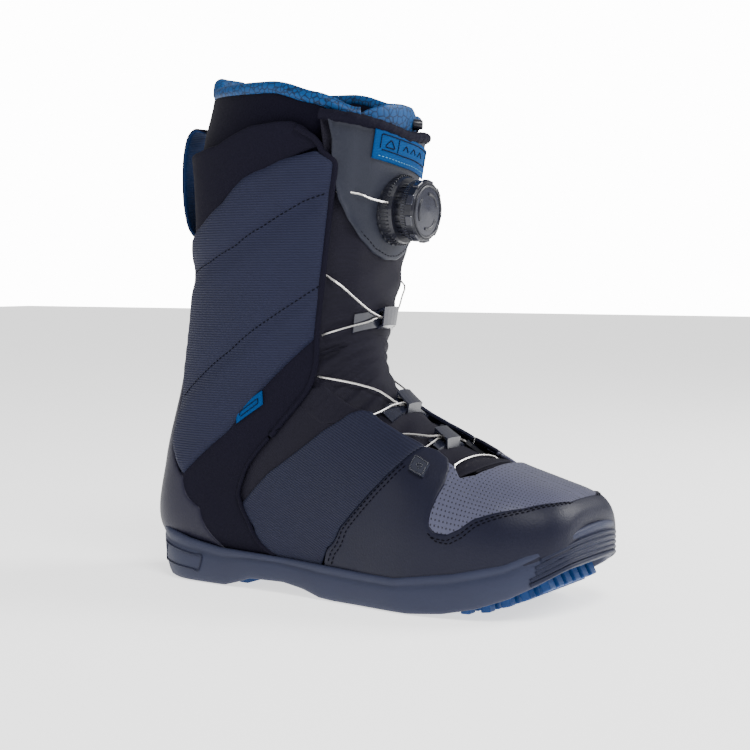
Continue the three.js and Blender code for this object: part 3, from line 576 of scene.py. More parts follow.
@dataclass
class Stitching:
    """Row of thread stitches along a line of places.

    Attributes:
        name: piece name.
        rows: lines of places, each one row.
        material: thread.
        pitch: distance between stitches.
        length: length of one stitch.
        radius: thread radius.
        off: height above the surface.
        surface: surface that they lie on.
    """

    name: str
    rows: Sequence[Sequence[Place]]
    material: bpy.types.Material
    pitch: float = 3.2
    length: float = 2.3
    radius: float = 0.34
    off: float | Callable[[Array, Array], Array] = 0.0
    surface: Callable[[Array, Array, Array], Array] = LAST.points

    def build(self) -> bpy.types.Object:
        """Lays each stitch along its line.

        Returns:
            One object with every stitch.
        """
        bm = bmesh.new()
        for row in self.rows:
            fine = dense(np.array(row) * SCALE, 1.0) / SCALE
            off = self.off(fine[:, 0], fine[:, 1]) if callable(self.off) else self.off
            path = self.surface(fine[:, 0], fine[:, 1], off)
            at = np.concatenate([[0], np.cumsum(np.linalg.norm(np.diff(path, axis=0), axis=1))])
            for start in np.arange(self.pitch / 2, at[-1] - self.length, self.pitch):
                ends = [
                    np.array(
                        [np.interp(s, at, path[:, k]) for k in range(3)]
                    ) for s in (start, start + self.length)
                ]
                self._stitch(bm, *(Vector(world(e)) for e in ends))
        return link(self.name, bm, self.material)

    def _stitch(self, bm: bmesh.types.BMesh, a: Vector, b: Vector) -> None:
        """One rounded stitch from a to b.

        Args:
            bm: mesh that it joins.
            a: one end, in metres.
            b: the other end.
        """
        turn = (b - a).to_track_quat("Z", "Y").to_matrix().to_4x4()
        size = Matrix.Diagonal((self.radius * MM, self.radius * MM, (b - a).length / 2, 1))
        matrix = Matrix.Translation((a + b) / 2) @ turn @ size
        bmesh.ops.create_uvsphere(bm, u_segments=6, v_segments=4, radius=1, matrix=matrix)


# ---------------------------------------------------------------- finishes


DARKEN = 0.42  # share of a surface's seen brightness that is its own colour under the studio light


def tone(red: int, green: int, blue: int) -> tuple[float, float, float, float]:
    """Linear colour of an 8-bit one.

    Args:
        red: red, 0 to 255.
        green: green, 0 to 255.
        blue: blue, 0 to 255.

    Returns:
        Linear red, green, blue and alpha.
    """
    lin = []
    for c in (red, green, blue):
        seen = c / 255 / 12.92 if c <= 10 else ((c / 255 + 0.055) / 1.055) ** 2.4
        lin.append(DARKEN * seen)
    return (*lin, 1.0)


class Pattern(Enum):
    """Relief of a finish."""

    PLAIN = "plain"
    RIBS = "ribs"
    DIAGONAL = "diagonal"
    GRAIN = "grain"
    WEAVE = "weave"
    CRACKLE = "crackle"
    DOTS = "dots"


def group_mottle() -> bpy.types.ShaderNodeTree:
    """Node group that gives slow and fine unevenness of a surface.

    Returns:
        The group, with outputs Slow and Fine, both from 0 to 1.
    """
    group = bpy.data.node_groups.new("mottle", "ShaderNodeTree")
    group.interface.new_socket("Vector", in_out="INPUT", socket_type="NodeSocketVector")
    group.interface.new_socket("Slow", in_out="OUTPUT", socket_type="NodeSocketFloat")
    group.interface.new_socket("Fine", in_out="OUTPUT", socket_type="NodeSocketFloat")
    nodes, links = group.nodes, group.links
    start, end = nodes.new("NodeGroupInput"), nodes.new("NodeGroupOutput")
    for name, scale, detail in (("Slow", 38.0, 3.0), ("Fine", 900.0, 4.0)):
        noise = nodes.new("ShaderNodeTexNoise")
        noise.inputs["Scale"].default_value = scale
        noise.inputs["Detail"].default_value = detail
        links.new(start.outputs["Vector"], noise.inputs["Vector"])
        links.new(noise.outputs["Fac"], end.inputs[name])
    return group


def group_ribs() -> bpy.types.ShaderNodeTree:
    """Node group that gives raised ribs across a direction.

    Returns:
        The group, with inputs Vector, Direction and Pitch, and output Height from 0 to 1.
    """
    group = bpy.data.node_groups.new("ribs", "ShaderNodeTree")
    group.interface.new_socket("Vector", in_out="INPUT", socket_type="NodeSocketVector")
    group.interface.new_socket("Direction", in_out="INPUT", socket_type="NodeSocketVector")
    group.interface.new_socket("Pitch", in_out="INPUT", socket_type="NodeSocketFloat")
    group.interface.new_socket("Height", in_out="OUTPUT", socket_type="NodeSocketFloat")
    nodes, links = group.nodes, group.links
    start, end = nodes.new("NodeGroupInput"), nodes.new("NodeGroupOutput")
    dot = nodes.new("ShaderNodeVectorMath")
    dot.operation = "DOT_PRODUCT"
    noise = nodes.new("ShaderNodeTexNoise")
    noise.inputs["Scale"].default_value = 60.0
    turns = nodes.new("ShaderNodeMath")
    turns.operation = "DIVIDE"
    wobble = nodes.new("ShaderNodeMath")
    wobble.operation = "MULTIPLY_ADD"
    wobble.inputs[1].default_value = 0.9
    sine = nodes.new("ShaderNodeMath")
    sine.operation = "SINE"
    half = nodes.new("ShaderNodeMath")
    half.operation = "MULTIPLY_ADD"
    half.inputs[1].default_value = 0.5
    half.inputs[2].default_value = 0.5
    links.new(start.outputs["Vector"], dot.inputs[0])
    links.new(start.outputs["Direction"], dot.inputs[1])
    links.new(start.outputs["Vector"], noise.inputs["Vector"])
    links.new(dot.outputs["Value"], turns.inputs[0])
    links.new(start.outputs["Pitch"], turns.inputs[1])
    links.new(noise.outputs["Fac"], wobble.inputs[0])
    links.new(turns.outputs["Value"], wobble.inputs[2])
    links.new(wobble.outputs["Value"], sine.inputs[0])
    links.new(sine.outputs["Value"], half.inputs[0])
    links.new(half.outputs["Value"], end.inputs["Height"])
    return group


@dataclass(frozen=True)
class Finish:
    """Finish of a piece.

    Attributes:
        name: material name.
        color: base colour, linear.
        rough: roughness.
        pattern: relief.
        pitch: size of the relief in millimetres.
        depth: height of the relief in millimetres.
        direction: direction across which ribs run.
        metal: metalness.
        coat: clear coat weight.
        sheen: cloth sheen weight.
        vary: share by which the colour varies.
        hollow_shade_and_lines: brightness of the relief's hollows, as a share; this is painted shade in the
            hollows, and for the crackle pattern it draws the pattern's own dark lines.
        specular: specular level.
    """

    name: str
    color: tuple[float, float, float, float]
    rough: float = 0.6
    pattern: Pattern = Pattern.PLAIN
    pitch: float = 1.3
    depth: float = 0.2
    direction: tuple[float, float, float] = (0.0, 0.0, 1.0)
    metal: float = 0.0
    coat: float = 0.0
    sheen: float = 0.0
    vary: float = 0.12
    hollow_shade_and_lines: float = 0.55
    specular: float = 0.3

    COAT_ROUGH = 0.18
    SHEEN_ROUGH = 0.45
    ROUGH_SPREAD = 0.07
    CRACK_WIDTH = 0.12

    def build(self) -> bpy.types.Material:
        """Makes the material, once.

        Returns:
            The material.
        """
        if self.name in bpy.data.materials:
            return bpy.data.materials[self.name]
        material = bpy.data.materials.new(self.name)
        material.use_nodes = True
        nodes, links = material.node_tree.nodes, material.node_tree.links
        shader = nodes["Principled BSDF"]
        shader.inputs["Metallic"].default_value = self.metal
        shader.inputs["Coat Weight"].default_value = self.coat
        shader.inputs["Coat Roughness"].default_value = self.COAT_ROUGH
        shader.inputs["Sheen Weight"].default_value = self.sheen
        shader.inputs["Sheen Roughness"].default_value = self.SHEEN_ROUGH
        shader.inputs["Specular IOR Level"].default_value = self.specular
        coords = nodes.new("ShaderNodeTexCoord").outputs["Object"]
        mottle = nodes.new("ShaderNodeGroup")
        mottle.node_tree = bpy.data.node_groups.get("mottle") or group_mottle()
        links.new(coords, mottle.inputs["Vector"])
        height, scale = self._height(nodes, links, coords, mottle)
        self._color(nodes, links, shader, mottle, height)
        rough = nodes.new("ShaderNodeMapRange")
        rough.inputs["To Min"].default_value = max(0.02, self.rough - self.ROUGH_SPREAD)
        rough.inputs["To Max"].default_value = min(1.0, self.rough + self.ROUGH_SPREAD)
        links.new(mottle.outputs["Slow"], rough.inputs["Value"])
        links.new(rough.outputs["Result"], shader.inputs["Roughness"])
        bump = nodes.new("ShaderNodeBump")
        bump.inputs["Strength"].default_value = 1.0
        bump.inputs["Distance"].default_value = scale * MM
        links.new(height, bump.inputs["Height"])
        links.new(bump.outputs["Normal"], shader.inputs["Normal"])
        return material

    def _height(
        self, nodes: bpy.types.Nodes, links: bpy.types.NodeLinks, coords: bpy.types.NodeSocket,
        mottle: bpy.types.Node
    ) -> tuple[bpy.types.NodeSocket, float]:
        """Height socket and its size in millimetres.

        Args:
            nodes: the material's nodes.
            links: the material's links.
            coords: object coordinates.
            mottle: node of the unevenness group.

        Returns:
            The socket and the depth in millimetres.
        """
        if self.pattern in (Pattern.RIBS, Pattern.DIAGONAL):
            ribs = nodes.new("ShaderNodeGroup")
            ribs.node_tree = bpy.data.node_groups.get("ribs") or group_ribs()
            ribs.inputs["Direction"].default_value = self.direction
            ribs.inputs["Pitch"].default_value = self.pitch * MM / (2 * math.pi)
            links.new(coords, ribs.inputs["Vector"])
            return ribs.outputs["Height"], self.depth
        if self.pattern in (Pattern.GRAIN, Pattern.CRACKLE):
            cells = nodes.new("ShaderNodeTexVoronoi")
            cells.feature = "DISTANCE_TO_EDGE" if self.pattern is Pattern.CRACKLE else "F1"
            cells.inputs["Scale"].default_value = 1000 / self.pitch
            links.new(coords, cells.inputs["Vector"])
            return cells.outputs["Distance"], self.depth
        if self.pattern is Pattern.DOTS:
            return self._dots(nodes, links), self.depth
        if self.pattern is Pattern.WEAVE:
            wave = nodes.new("ShaderNodeTexChecker")
            wave.inputs["Scale"].default_value = 1000 / self.pitch
            links.new(coords, wave.inputs["Vector"])
            return wave.outputs["Fac"], self.depth
        return mottle.outputs["Fine"], self.depth

    def _dots(self, nodes: bpy.types.Nodes, links: bpy.types.NodeLinks) -> bpy.types.NodeSocket:
        """Height of a sheet with rows of small round holes, laid out on the piece's own UV map.

        Args:
            nodes: the material's nodes.
            links: the material's links.

        Returns:
            The height's socket.
        """
        cells = nodes.new("ShaderNodeTexVoronoi")
        cells.voronoi_dimensions = "2D"
        cells.inputs["Scale"].default_value = 1000 / self.pitch
        cells.inputs["Randomness"].default_value = 0.0
        hole = nodes.new("ShaderNodeMapRange")
        hole.inputs["From Min"].default_value = 0.15
        hole.inputs["From Max"].default_value = 0.23
        links.new(nodes.new("ShaderNodeUVMap").outputs["UV"], cells.inputs["Vector"])
        links.new(cells.outputs["Distance"], hole.inputs["Value"])
        return hole.outputs["Result"]

    def _color(
        self, nodes: bpy.types.Nodes, links: bpy.types.NodeLinks, shader: bpy.types.Node,
        mottle: bpy.types.Node, height: bpy.types.NodeSocket
    ) -> None:
        """Base colour, uneven, and darkened in the relief's hollows as painted shade; for the crackle pattern
        the darkening draws the pattern's own dark lines.

        Args:
            nodes: the material's nodes.
            links: the material's links.
            shader: the material's shader.
            mottle: node of the unevenness group.
            height: socket of the relief's height.
        """
        mix = nodes.new("ShaderNodeMix")
        mix.data_type = "RGBA"
        dark = tuple(c * (1 - self.vary) for c in self.color[:3]) + (1.0,)
        light = tuple(min(1.0, c * (1 + self.vary)) for c in self.color[:3]) + (1.0,)
        mix.inputs["A"].default_value = dark
        mix.inputs["B"].default_value = light
        links.new(mottle.outputs["Slow"], mix.inputs["Factor"])
        result = mix.outputs["Result"]
        # painted shade: the base colour is scaled down in the relief's hollows; for the crackle pattern this
        # scaling draws the pattern's own dark lines
        if self.pattern in (Pattern.RIBS, Pattern.DIAGONAL, Pattern.WEAVE, Pattern.CRACKLE, Pattern.DOTS):
            hollow_shade_ramp = nodes.new("ShaderNodeMapRange")
            cracked = self.pattern is Pattern.CRACKLE
            hollow_shade_ramp.inputs["From Max"].default_value = self.CRACK_WIDTH if cracked else 1.0
            hollow_shade_ramp.inputs["To Min"].default_value = self.hollow_shade_and_lines
            hollow_shade_ramp.inputs["To Max"].default_value = 1.0
            links.new(height, hollow_shade_ramp.inputs["Value"])
            scale = nodes.new("ShaderNodeVectorMath")
            scale.operation = "SCALE"
            links.new(result, scale.inputs[0])
            links.new(hollow_shade_ramp.outputs["Result"], scale.inputs["Scale"])
            result = scale.outputs["Vector"]
        links.new(result, shader.inputs["Base Color"])


class Finishes:
    """Every finish of the boot."""

    RIBBED = Finish(
        "ribbed_navy", tone(52, 56, 86), 0.62, Pattern.RIBS, 1.5, 0.22, hollow_shade_and_lines=0.72, specular=0.12
    )
    RIBBED_QUARTER = Finish(
        "ribbed_quarter", tone(46, 50, 78), 0.58, Pattern.DIAGONAL, 1.4, 0.22, (0.42, 0.0, 0.9),
        hollow_shade_and_lines=0.7, specular=0.16
    )
    SOFTSHELL = Finish(
        "softshell_black", tone(31, 29, 48), 0.75, Pattern.WEAVE, 0.7, 0.04, hollow_shade_and_lines=0.85, specular=0.07
    )
    STRETCH = Finish(
        "stretch_black", tone(42, 40, 56), 0.68, Pattern.WEAVE, 0.9, 0.08, hollow_shade_and_lines=0.8, specular=0.12
    )
    SMOOTH = Finish("coated_navy", tone(34, 36, 60), 0.46, Pattern.GRAIN, 1.1, 0.07, specular=0.18)
    COUNTER = Finish("coated_counter", tone(42, 41, 65), 0.46, Pattern.GRAIN, 1.1, 0.06, specular=0.18)
    # vamp colour: partly the coated vamp's own colour and partly a painted highlight, lifted to the brightness
    # that light from above gives its top
    VAMP = Finish(
        "coated_vamp_painted_highlight", tone(112, 114, 142), 0.34, Pattern.DOTS, 3.4, 0.3, hollow_shade_and_lines=0.25, specular=0.35
    )
    OUTSOLE = Finish("rubber_navy", tone(64, 70, 98), 0.55, Pattern.GRAIN, 0.8, 0.05, specular=0.2)
    BUMPER = Finish("rubber_bumper", tone(46, 51, 76), 0.5, Pattern.GRAIN, 0.8, 0.05, specular=0.14)
    BLUE_RUBBER = Finish("rubber_blue", tone(4, 84, 165), 0.5, Pattern.GRAIN, 0.8, 0.04)
    BLUE_FABRIC = Finish(
        "webbing_blue", tone(0, 92, 168), 0.6, Pattern.RIBS, 0.9, 0.1, hollow_shade_and_lines=0.8, specular=0.05
    )
    # pull loop lining: a darker copy of the blue webbing, painted shade for the shade that the loop's blue
    # inside sits in
    LOOP = Finish(
        "webbing_loop_painted_shade", tone(24, 62, 120), 0.65, Pattern.RIBS, 1.1, 0.12, hollow_shade_and_lines=0.7, specular=0.1
    )
    BLUE_TRIM = Finish(
        "trim_blue", tone(2, 96, 172), 0.5, Pattern.CRACKLE, 3.6, 0.3, hollow_shade_and_lines=0.1, specular=0.2
    )
    LINER = Finish("liner_black", tone(24, 22, 40), 0.9, Pattern.GRAIN, 0.8, 0.1, sheen=0.04, specular=0.05)
    LINER_TONGUE = Finish(
        "liner_tongue_blue", tone(2, 92, 165), 0.5, Pattern.CRACKLE, 4.4, 0.3, hollow_shade_and_lines=0.12, specular=0.2
    )
    SHIELD = Finish("moulded_grey", tone(54, 58, 74), 0.5, Pattern.GRAIN, 1.0, 0.06, specular=0.2)
    BLACK_PLASTIC = Finish("plastic_black", tone(38, 40, 54), 0.34, Pattern.PLAIN, depth=0.02, coat=0.2)
    GLOSS = Finish("plastic_gloss", tone(46, 49, 68), 0.24, Pattern.PLAIN, depth=0.005, coat=0.5, vary=0.03)
    GREY_PLASTIC = Finish("plastic_grey", tone(92, 96, 112), 0.45, Pattern.PLAIN, depth=0.02)
    BADGE = Finish("rubber_badge", tone(60, 64, 82), 0.4, Pattern.PLAIN, depth=0.02, coat=0.2)
    STEEL = Finish("steel", tone(250, 244, 234), 0.32, Pattern.PLAIN, depth=0.02, metal=0.85)
    THREAD = Finish("thread_dark", tone(16, 16, 28), 0.8, Pattern.PLAIN, depth=0.03, specular=0.05)
    THREAD_BLUE = Finish("thread_blue", tone(120, 190, 235), 0.7, Pattern.PLAIN, depth=0.03, specular=0.1)
    MOTIF = Finish("motif_dark", tone(14, 22, 40), 0.7, Pattern.PLAIN, depth=0.02, specular=0.1)
    FOAM = Finish("foam_grey", tone(120, 122, 126), 0.8, Pattern.GRAIN, 0.8, 0.08)
    BOARD = Finish("fibre_board", tone(168, 156, 134), 0.8, Pattern.GRAIN, 0.8, 0.05)


# ---------------------------------------------------------------- pieces at the bends, baked in place


class Motion:
    """Soft pieces where the boot bends between bodies; each method bakes a piece's transform into its mesh and
    attaches it to no body, and its two bend points are not used.
    """

    @staticmethod
    def at(x: float, z: float) -> Vector:
        """Point in the row frame of a side-view point in millimetres.

        Args:
            x: distance forward.
            z: height.

        Returns:
            The point in metres.
        """
        return Vector(world([x, 0.0, z]))

    @classmethod
    def ankle_side(cls, piece: bpy.types.Object) -> None:
        """Side or rear of the ankle, which bends from the foot to the cuff; only the piece's transform is
        baked into its mesh.

        Args:
            piece: piece at the bend.
        """
        cls.at(60, 55)
        cls.at(60, 128)
        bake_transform(piece)

    @classmethod
    def ankle_front(cls, piece: bpy.types.Object) -> None:
        """Front of the ankle, which opens and closes like a fan before the pivot; only the piece's transform
        is baked into its mesh.

        Args:
            piece: piece at the bend.
        """
        cls.at(134, 84)
        cls.at(119, 112)
        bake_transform(piece)

    @classmethod
    def tongue_base(cls, piece: bpy.types.Object) -> None:
        """Base of the tongue, between the foot and the cuff; only the piece's transform is baked into its
        mesh.

        Args:
            piece: piece at the bend.
        """
        cls.at(172, 112)
        cls.at(150, 148)
        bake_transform(piece)

    @classmethod
    def tongue_hinge(cls, piece: bpy.types.Object) -> None:
        """Foot of the upper tongue, between the cuff and the opening tongue; only the piece's transform is
        baked into its mesh.

        Args:
            piece: piece at the bend.
        """
        cls.at(160, 148)
        cls.at(160, 162)
        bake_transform(piece)


# ---------------------------------------------------------------- sewn upper


def side_line(points: Sequence[tuple[float, float]]) -> list[Place]:
    """Places of side-view points (x, z), on the inner side.

    Args:
        points: side-view points in millimetres.

    Returns:
        Their places.
    """
    return [LAST.place(x, z) for x, z in points]


def over_top(places: Sequence[Place], side: Side) -> list[Place]:
    """Inner-side places as shares that run past 1 on the outer side.

    Args:
        places: inner-side places.
        side: side of the boot.

    Returns:
        The places.
    """
    return [(u, 2 - g if side is Side.LATERAL else g) for u, g in places]


def on_side(places: Sequence[Place], side: Side) -> list[Place]:
    """Inner-side places on a side, negative on the outer one.

    Args:
        places: inner-side places.
        side: side of the boot.

    Returns:
        The places.
    """
    return [(u, g * side.value) for u, g in places]


def all_round(places: Sequence[Place], top: bool) -> list[Place]:
    """Line from the outer side to the inner one.

    Args:
        places: inner-side places, from the middle outwards.
        top: True where the middle is the instep, False where it is the sole or the back.

    Returns:
        Places through both sides.
    """
    outer = over_top(places, Side.LATERAL) if top else on_side(places, Side.LATERAL)
    return list(reversed(outer)) + list(places)


@dataclass
class Upper:
    """Sewn panels of the foot and the cuff.

    Attributes:
        wall: thickness of a panel.
    """

    wall: float = 2.6

    CUFF_FRONT = [
        (14.35, 0.655), (14.2, 0.698), (13.95, 0.697), (13.06, 0.694), (12.32, 0.693), (11.06, 0.696)
    ]
    BAND_TOP = [(10.84, 0.697), (10.02, 0.56), (9.6, 0.496), (9.44, 0.377)]
    COUNTER = [
        (9.44, 0.377), (9.8, 0.304), (10.08, 0.257), (10.66, 0.232), (11.63, 0.172), (12.4, 0.155),
        (13.1, 0.165)
    ]
    RIB_TOP = [(13.1, 0.175), (13.28, 0.291), (13.56, 0.393), (13.95, 0.463), (14.25, 0.547), (14.4, 0.64)]
    FLAP = [
        (10.84, 0.7), (10.2, 0.707), (9.61, 0.703), (9.1, 0.687), (8.97, 0.649), (8.91, 0.62), (8.74, 0.577)
    ]
    BAND_FRONT = [
        (8.65, 0.528), (8.48, 0.501), (8.31, 0.494), (8.17, 0.488), (7.78, 0.467), (7.24, 0.362),
        (7.0, 0.27)
    ]
    QUARTER_TOP = [(8.2, 0.49), (8.17, 0.542), (7.95, 0.609), (7.72, 0.676), (7.45, 0.722), (7.36, 0.746)]
    EYESTAY = [(7.11, 0.774), (6.77, 0.795), (6.34, 0.798), (5.8, 0.811), (5.29, 0.835), (5.15, 0.836)]
    QUARTER_FRONT = [
        (5.15, 0.836), (5.43, 0.723), (5.73, 0.636), (6.06, 0.558), (6.31, 0.501), (6.44, 0.475),
        (6.47, 0.38), (6.5, 0.27)
    ]
    RAND_TOP = [
        (5.15, 0.836), (4.88, 0.857), (4.61, 0.849), (4.47, 0.809), (4.39, 0.734), (4.49, 0.617),
        (4.49, 0.579),
        (4.35, 0.561), (4.1, 0.563), (3.86, 0.588), (3.6, 0.636), (3.21, 0.679), (2.6, 0.744),
        (1.98, 0.843), (1.6, 0.93),
    ]
    STITCH_A = [
        (13.61, 0.682), (13.49, 0.618), (13.24, 0.544), (12.85, 0.445), (12.67, 0.342), (12.54, 0.19)
    ]
    STITCH_B = [
        (12.03, 0.692), (11.77, 0.615), (11.44, 0.515), (11.18, 0.456), (10.94, 0.356), (10.74, 0.256)
    ]

    def _near(
        self, lines: Sequence[Sequence[Place]], width: float, depth: float
    ) -> Callable[[Array, Array], Array]:
        """Relief that sinks along stitched lines.

        Args:
            lines: stitched lines of places.
            width: how far the hollow reaches.
            depth: height beyond it.

        Returns:
            The relief.
        """
        samples = np.vstack([dense(np.array(line) * SCALE, 1.5) for line in lines])

        def relief(u: Array, g: Array) -> Array:
            """Height beside the lines."""
            plane = np.stack([u, np.abs(g)], -1) * SCALE
            far = np.min(np.hypot(*(plane[:, None, :] - samples[None]).transpose(2, 0, 1)), axis=1)
            return depth * smooth(far, 0.6, width)

        return relief

    def _add(self, panel: Panel, *nodes: str) -> bpy.types.Object:
        """Builds a panel in place of CAD nodes.

        Args:
            panel: panel to build.
            nodes: CAD nodes that it stands for.

        Returns:
            The panel's object.
        """
        piece = panel.build()
        if nodes:
            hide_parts(*nodes)
        return piece

    def build(self) -> None:
        """Builds every panel and its stitching."""
        for side in Side:
            self._cuff(side)
            self._ankle(side)
            self._quarter(side)
            self._edges(side)
        self._rear()
        self._toe()
        self._stitching()
        self._trims()

    def _cuff(self, side: Side) -> None:
        """Ribbed panel of one side of the cuff.

        Args:
            side: side of the boot.
        """
        outline = [*self.CUFF_FRONT, *self.BAND_TOP, *self.COUNTER[1:], *self.RIB_TOP]
        relief = self._near([self.STITCH_A, self.STITCH_B], 14, 2.2)
        panel = Panel(
            f"cuff_panel_skin_{side.label}", on_side(outline, side), Finishes.RIBBED.build(), 0.3,
            self.wall, relief=relief
        )
        Motion.ankle_side(self._add(panel, f"cuff_panel_{side.label}"))

    def _ankle(self, side: Side) -> None:
        """Flex band round the ankle and the soft underlay in front of it.

        Args:
            side: side of the boot.
        """
        top = [(10.95, 0.66), (10.14, 0.54), (9.74, 0.47), (9.55, 0.36)]
        outline = [*self.FLAP, *self.BAND_FRONT, (7.9, 0.27), (8.7, 0.38), (9.4, 0.34), *reversed(top)]
        band = Panel(
            f"ankle_band_{side.label}", on_side(outline, side), Finishes.SOFTSHELL.build(), -0.2, 2.2
        )
        nodes = (f"ankle_band_lower_{side.label}", f"ankle_band_cuff_{side.label}")
        Motion.ankle_side(self._add(band, *nodes))
        outline = [
            (7.75, 0.45), (8.2, 0.46), (8.8, 0.54), (9.1, 0.62), (9.3, 0.69), (9.05, 0.735), (8.5, 0.75),
            (7.9, 0.76),
            (7.4, 0.77), (7.0, 0.79), (7.0, 0.76), (7.2, 0.72), (7.6, 0.63), (7.8, 0.55),
        ]
        soft = Panel(
            f"ankle_soft_{side.label}", on_side(outline, side), Finishes.STRETCH.build(), -1.6, 2.2,
            edge=1.2
        )
        nodes = (f"ankle_underlay_{side.label}", f"ankle_gusset_{side.label}")
        Motion.ankle_front(self._add(soft, *nodes))

    def _edges(self, side: Side) -> None:
        """Bound front edge of the cuff and the crossed bar-tack at its foot.

        Args:
            side: side of the boot.
        """
        edge = [
            (14.84, 0.58), (14.6, 0.64), *self.CUFF_FRONT, (10.3, 0.706), (9.7, 0.705), (9.2, 0.69),
            (8.97, 0.65), (8.76, 0.59)
        ]
        fine = dense(np.array(rounded(edge, 2)) * SCALE, 1.5) / SCALE
        path = LAST.points(fine[:, 0], side.value * fine[:, 1], -0.4)
        roll = tube(f"cuff_edge_{side.label}", spline(path[::4], 1.6), 1.9, Finishes.SOFTSHELL.build(), 12)
        Motion.ankle_side(roll)
        fine = dense(np.array(rounded([(8.76, 0.585), *self.BAND_FRONT[:-1]], 2)) * SCALE, 1.5) / SCALE
        path = LAST.points(fine[:, 0], side.value * fine[:, 1], 0.0)
        Motion.ankle_side(
            tube(f"band_piping_{side.label}", spline(path[::4], 1.6), 1.3, Finishes.SOFTSHELL.build(), 12)
        )
        u, g = 8.8, 0.6 * side.value
        bm = bmesh.new()
        for a, b in (((-0.07, -0.012), (0.07, 0.012)), ((-0.07, 0.012), (0.07, -0.012))):
            ends = [Vector(world(LAST.points(u + du, g + dg, 0.6))) for du, dg in (a, b)]
            bar = (ends[1] - ends[0]).to_track_quat("Z", "Y").to_matrix().to_4x4()
            size = Matrix.Diagonal((0.8 * MM, 0.8 * MM, (ends[1] - ends[0]).length / 2, 1))
            matrix = Matrix.Translation((ends[0] + ends[1]) / 2) @ bar @ size
            bmesh.ops.create_uvsphere(bm, u_segments=10, v_segments=8, radius=1, matrix=matrix)
        Motion.ankle_side(link(f"bar_tack_{side.label}", bm, Finishes.THREAD.build()))

    def _quarter(self, side: Side) -> None:
        """Diagonally ribbed panel between the ankle and the rand.

        Args:
            side: side of the boot.
        """
        outline = [
            *self.QUARTER_TOP, *self.EYESTAY, *self.QUARTER_FRONT[1:], *reversed(self.BAND_FRONT[3:])
        ]
        panel = Panel(
            f"quarter_skin_{side.label}", on_side(outline, side), Finishes.RIBBED_QUARTER.build(), 0.3,
            self.wall
        )
        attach(self._add(panel, f"quarter_{side.label}"), "lower")

    def _rear(self) -> None:
        """Heel counter, backstay and black collar, which run round the back."""
        front = [(9.41, 0.378), (8.7, 0.42), (7.91, 0.315), (7.7, 0.25)]
        low = [(8.3, 0.22), (8.8, 0.12)]
        rear = [(13.1, 0.165), *reversed(self.COUNTER[1:-1]), *front, *low]
        counter = Panel(
            "heel_counter_skin", all_round(rear, False), Finishes.COUNTER.build(), 0.6, self.wall
        )
        Motion.ankle_side(self._add(counter, "heel_counter", "cuff_backstay"))
        top = side_line([(30, 264), (53, 267), (74, 270), (92, 277), (101, 280), (121, 282), (131, 281.5)])
        edge = [
            (14.86, 0.6), (14.5, 0.66), (14.36, 0.6), (14.1, 0.53), (13.8, 0.45), (13.4, 0.37),
            (13.14, 0.28), (12.96, 0.17)
        ]
        low_line = all_round(list(reversed(edge)), False)
        high_line = list(reversed(all_round([(top[0][0], 0.03), *top[1:]], False)))
        collar = Panel(
            "cuff_collar_skin", [*low_line, *high_line], Finishes.SOFTSHELL.build(), -0.2, 2.6, edge=1.4
        )
        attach(self._add(collar, "cuff_collar_lateral", "cuff_collar_medial"), "cuff")

    def _toe(self) -> None:
        """Smooth rand round the toe and the vamp inside it."""
        sole = side_line(
            [
                (148, 13), (178, 13), (205, 13), (225, 16), (241, 19), (258, 23), (272, 25), (284, 29),
                (291, 33)
            ]
        )
        outer = [(5.15, 0.836), *self.QUARTER_FRONT[1:-2], *sole, (0.6, 0.5), (0.25, 0.5), (0.06, 0.62)]
        lateral = over_top(outer, Side.LATERAL)
        outline = [
            *over_top(list(reversed(self.RAND_TOP)), Side.LATERAL), *lateral[1:], (0.03, 1.0),
            *reversed(outer[1:]), *self.RAND_TOP
        ]
        rand = Panel("rand_skin", outline, Finishes.SMOOTH.build(), 0.5, self.wall)
        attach(self._add(rand, "toe_rand"), "lower")
        edge = [
            (3.86, 0.93), (3.98, 0.84), (4.2, 0.79), (4.42, 0.83), (4.8, 0.845), (4.62, 0.79), (4.6, 0.7),
            (4.66, 0.6), (4.5, 0.53),
            (4.1, 0.53), (3.7, 0.56), (3.4, 0.61), (2.9, 0.66), (2.3, 0.73), (1.75, 0.83), (1.4, 0.93),
        ]
        outline = [*over_top(edge, Side.LATERAL), *reversed(edge)]
        # the vamp's lighter finish carries a painted highlight
        vamp = Panel("vamp_skin", outline, Finishes.VAMP.build(), -0.2, self.wall, edge=0.3)
        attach(self._add(vamp, "toe_vamp"), "lower")

    def _stitching(self) -> None:
        """Rows of thread along the seams."""
        dark = Finishes.THREAD.build()
        for side in Side:
            rows = [on_side(line, side) for line in (self.STITCH_A, self.STITCH_B)]
            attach(Stitching(f"cuff_stitch_{side.label}", rows, dark, off=0.5).build(), "cuff")
            rand = [(5.32, 0.74), (5.62, 0.65), (5.95, 0.572), (6.2, 0.515), (6.34, 0.475), (6.36, 0.4)]
            second = [(u - 0.07, g - 0.004) for u, g in rand]
            top = [
                (4.52, 0.56), (4.35, 0.545), (4.08, 0.546), (3.82, 0.572), (3.55, 0.62), (3.15, 0.664),
                (2.55, 0.727), (1.92, 0.825), (1.5, 0.93)
            ]
            inner = [(u - 0.06, g - 0.008) for u, g in top]
            rows = [on_side(line, side) for line in (rand, second, top, inner)]
            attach(Stitching(f"rand_stitch_{side.label}", rows, dark, off=0.75).build(), "lower")

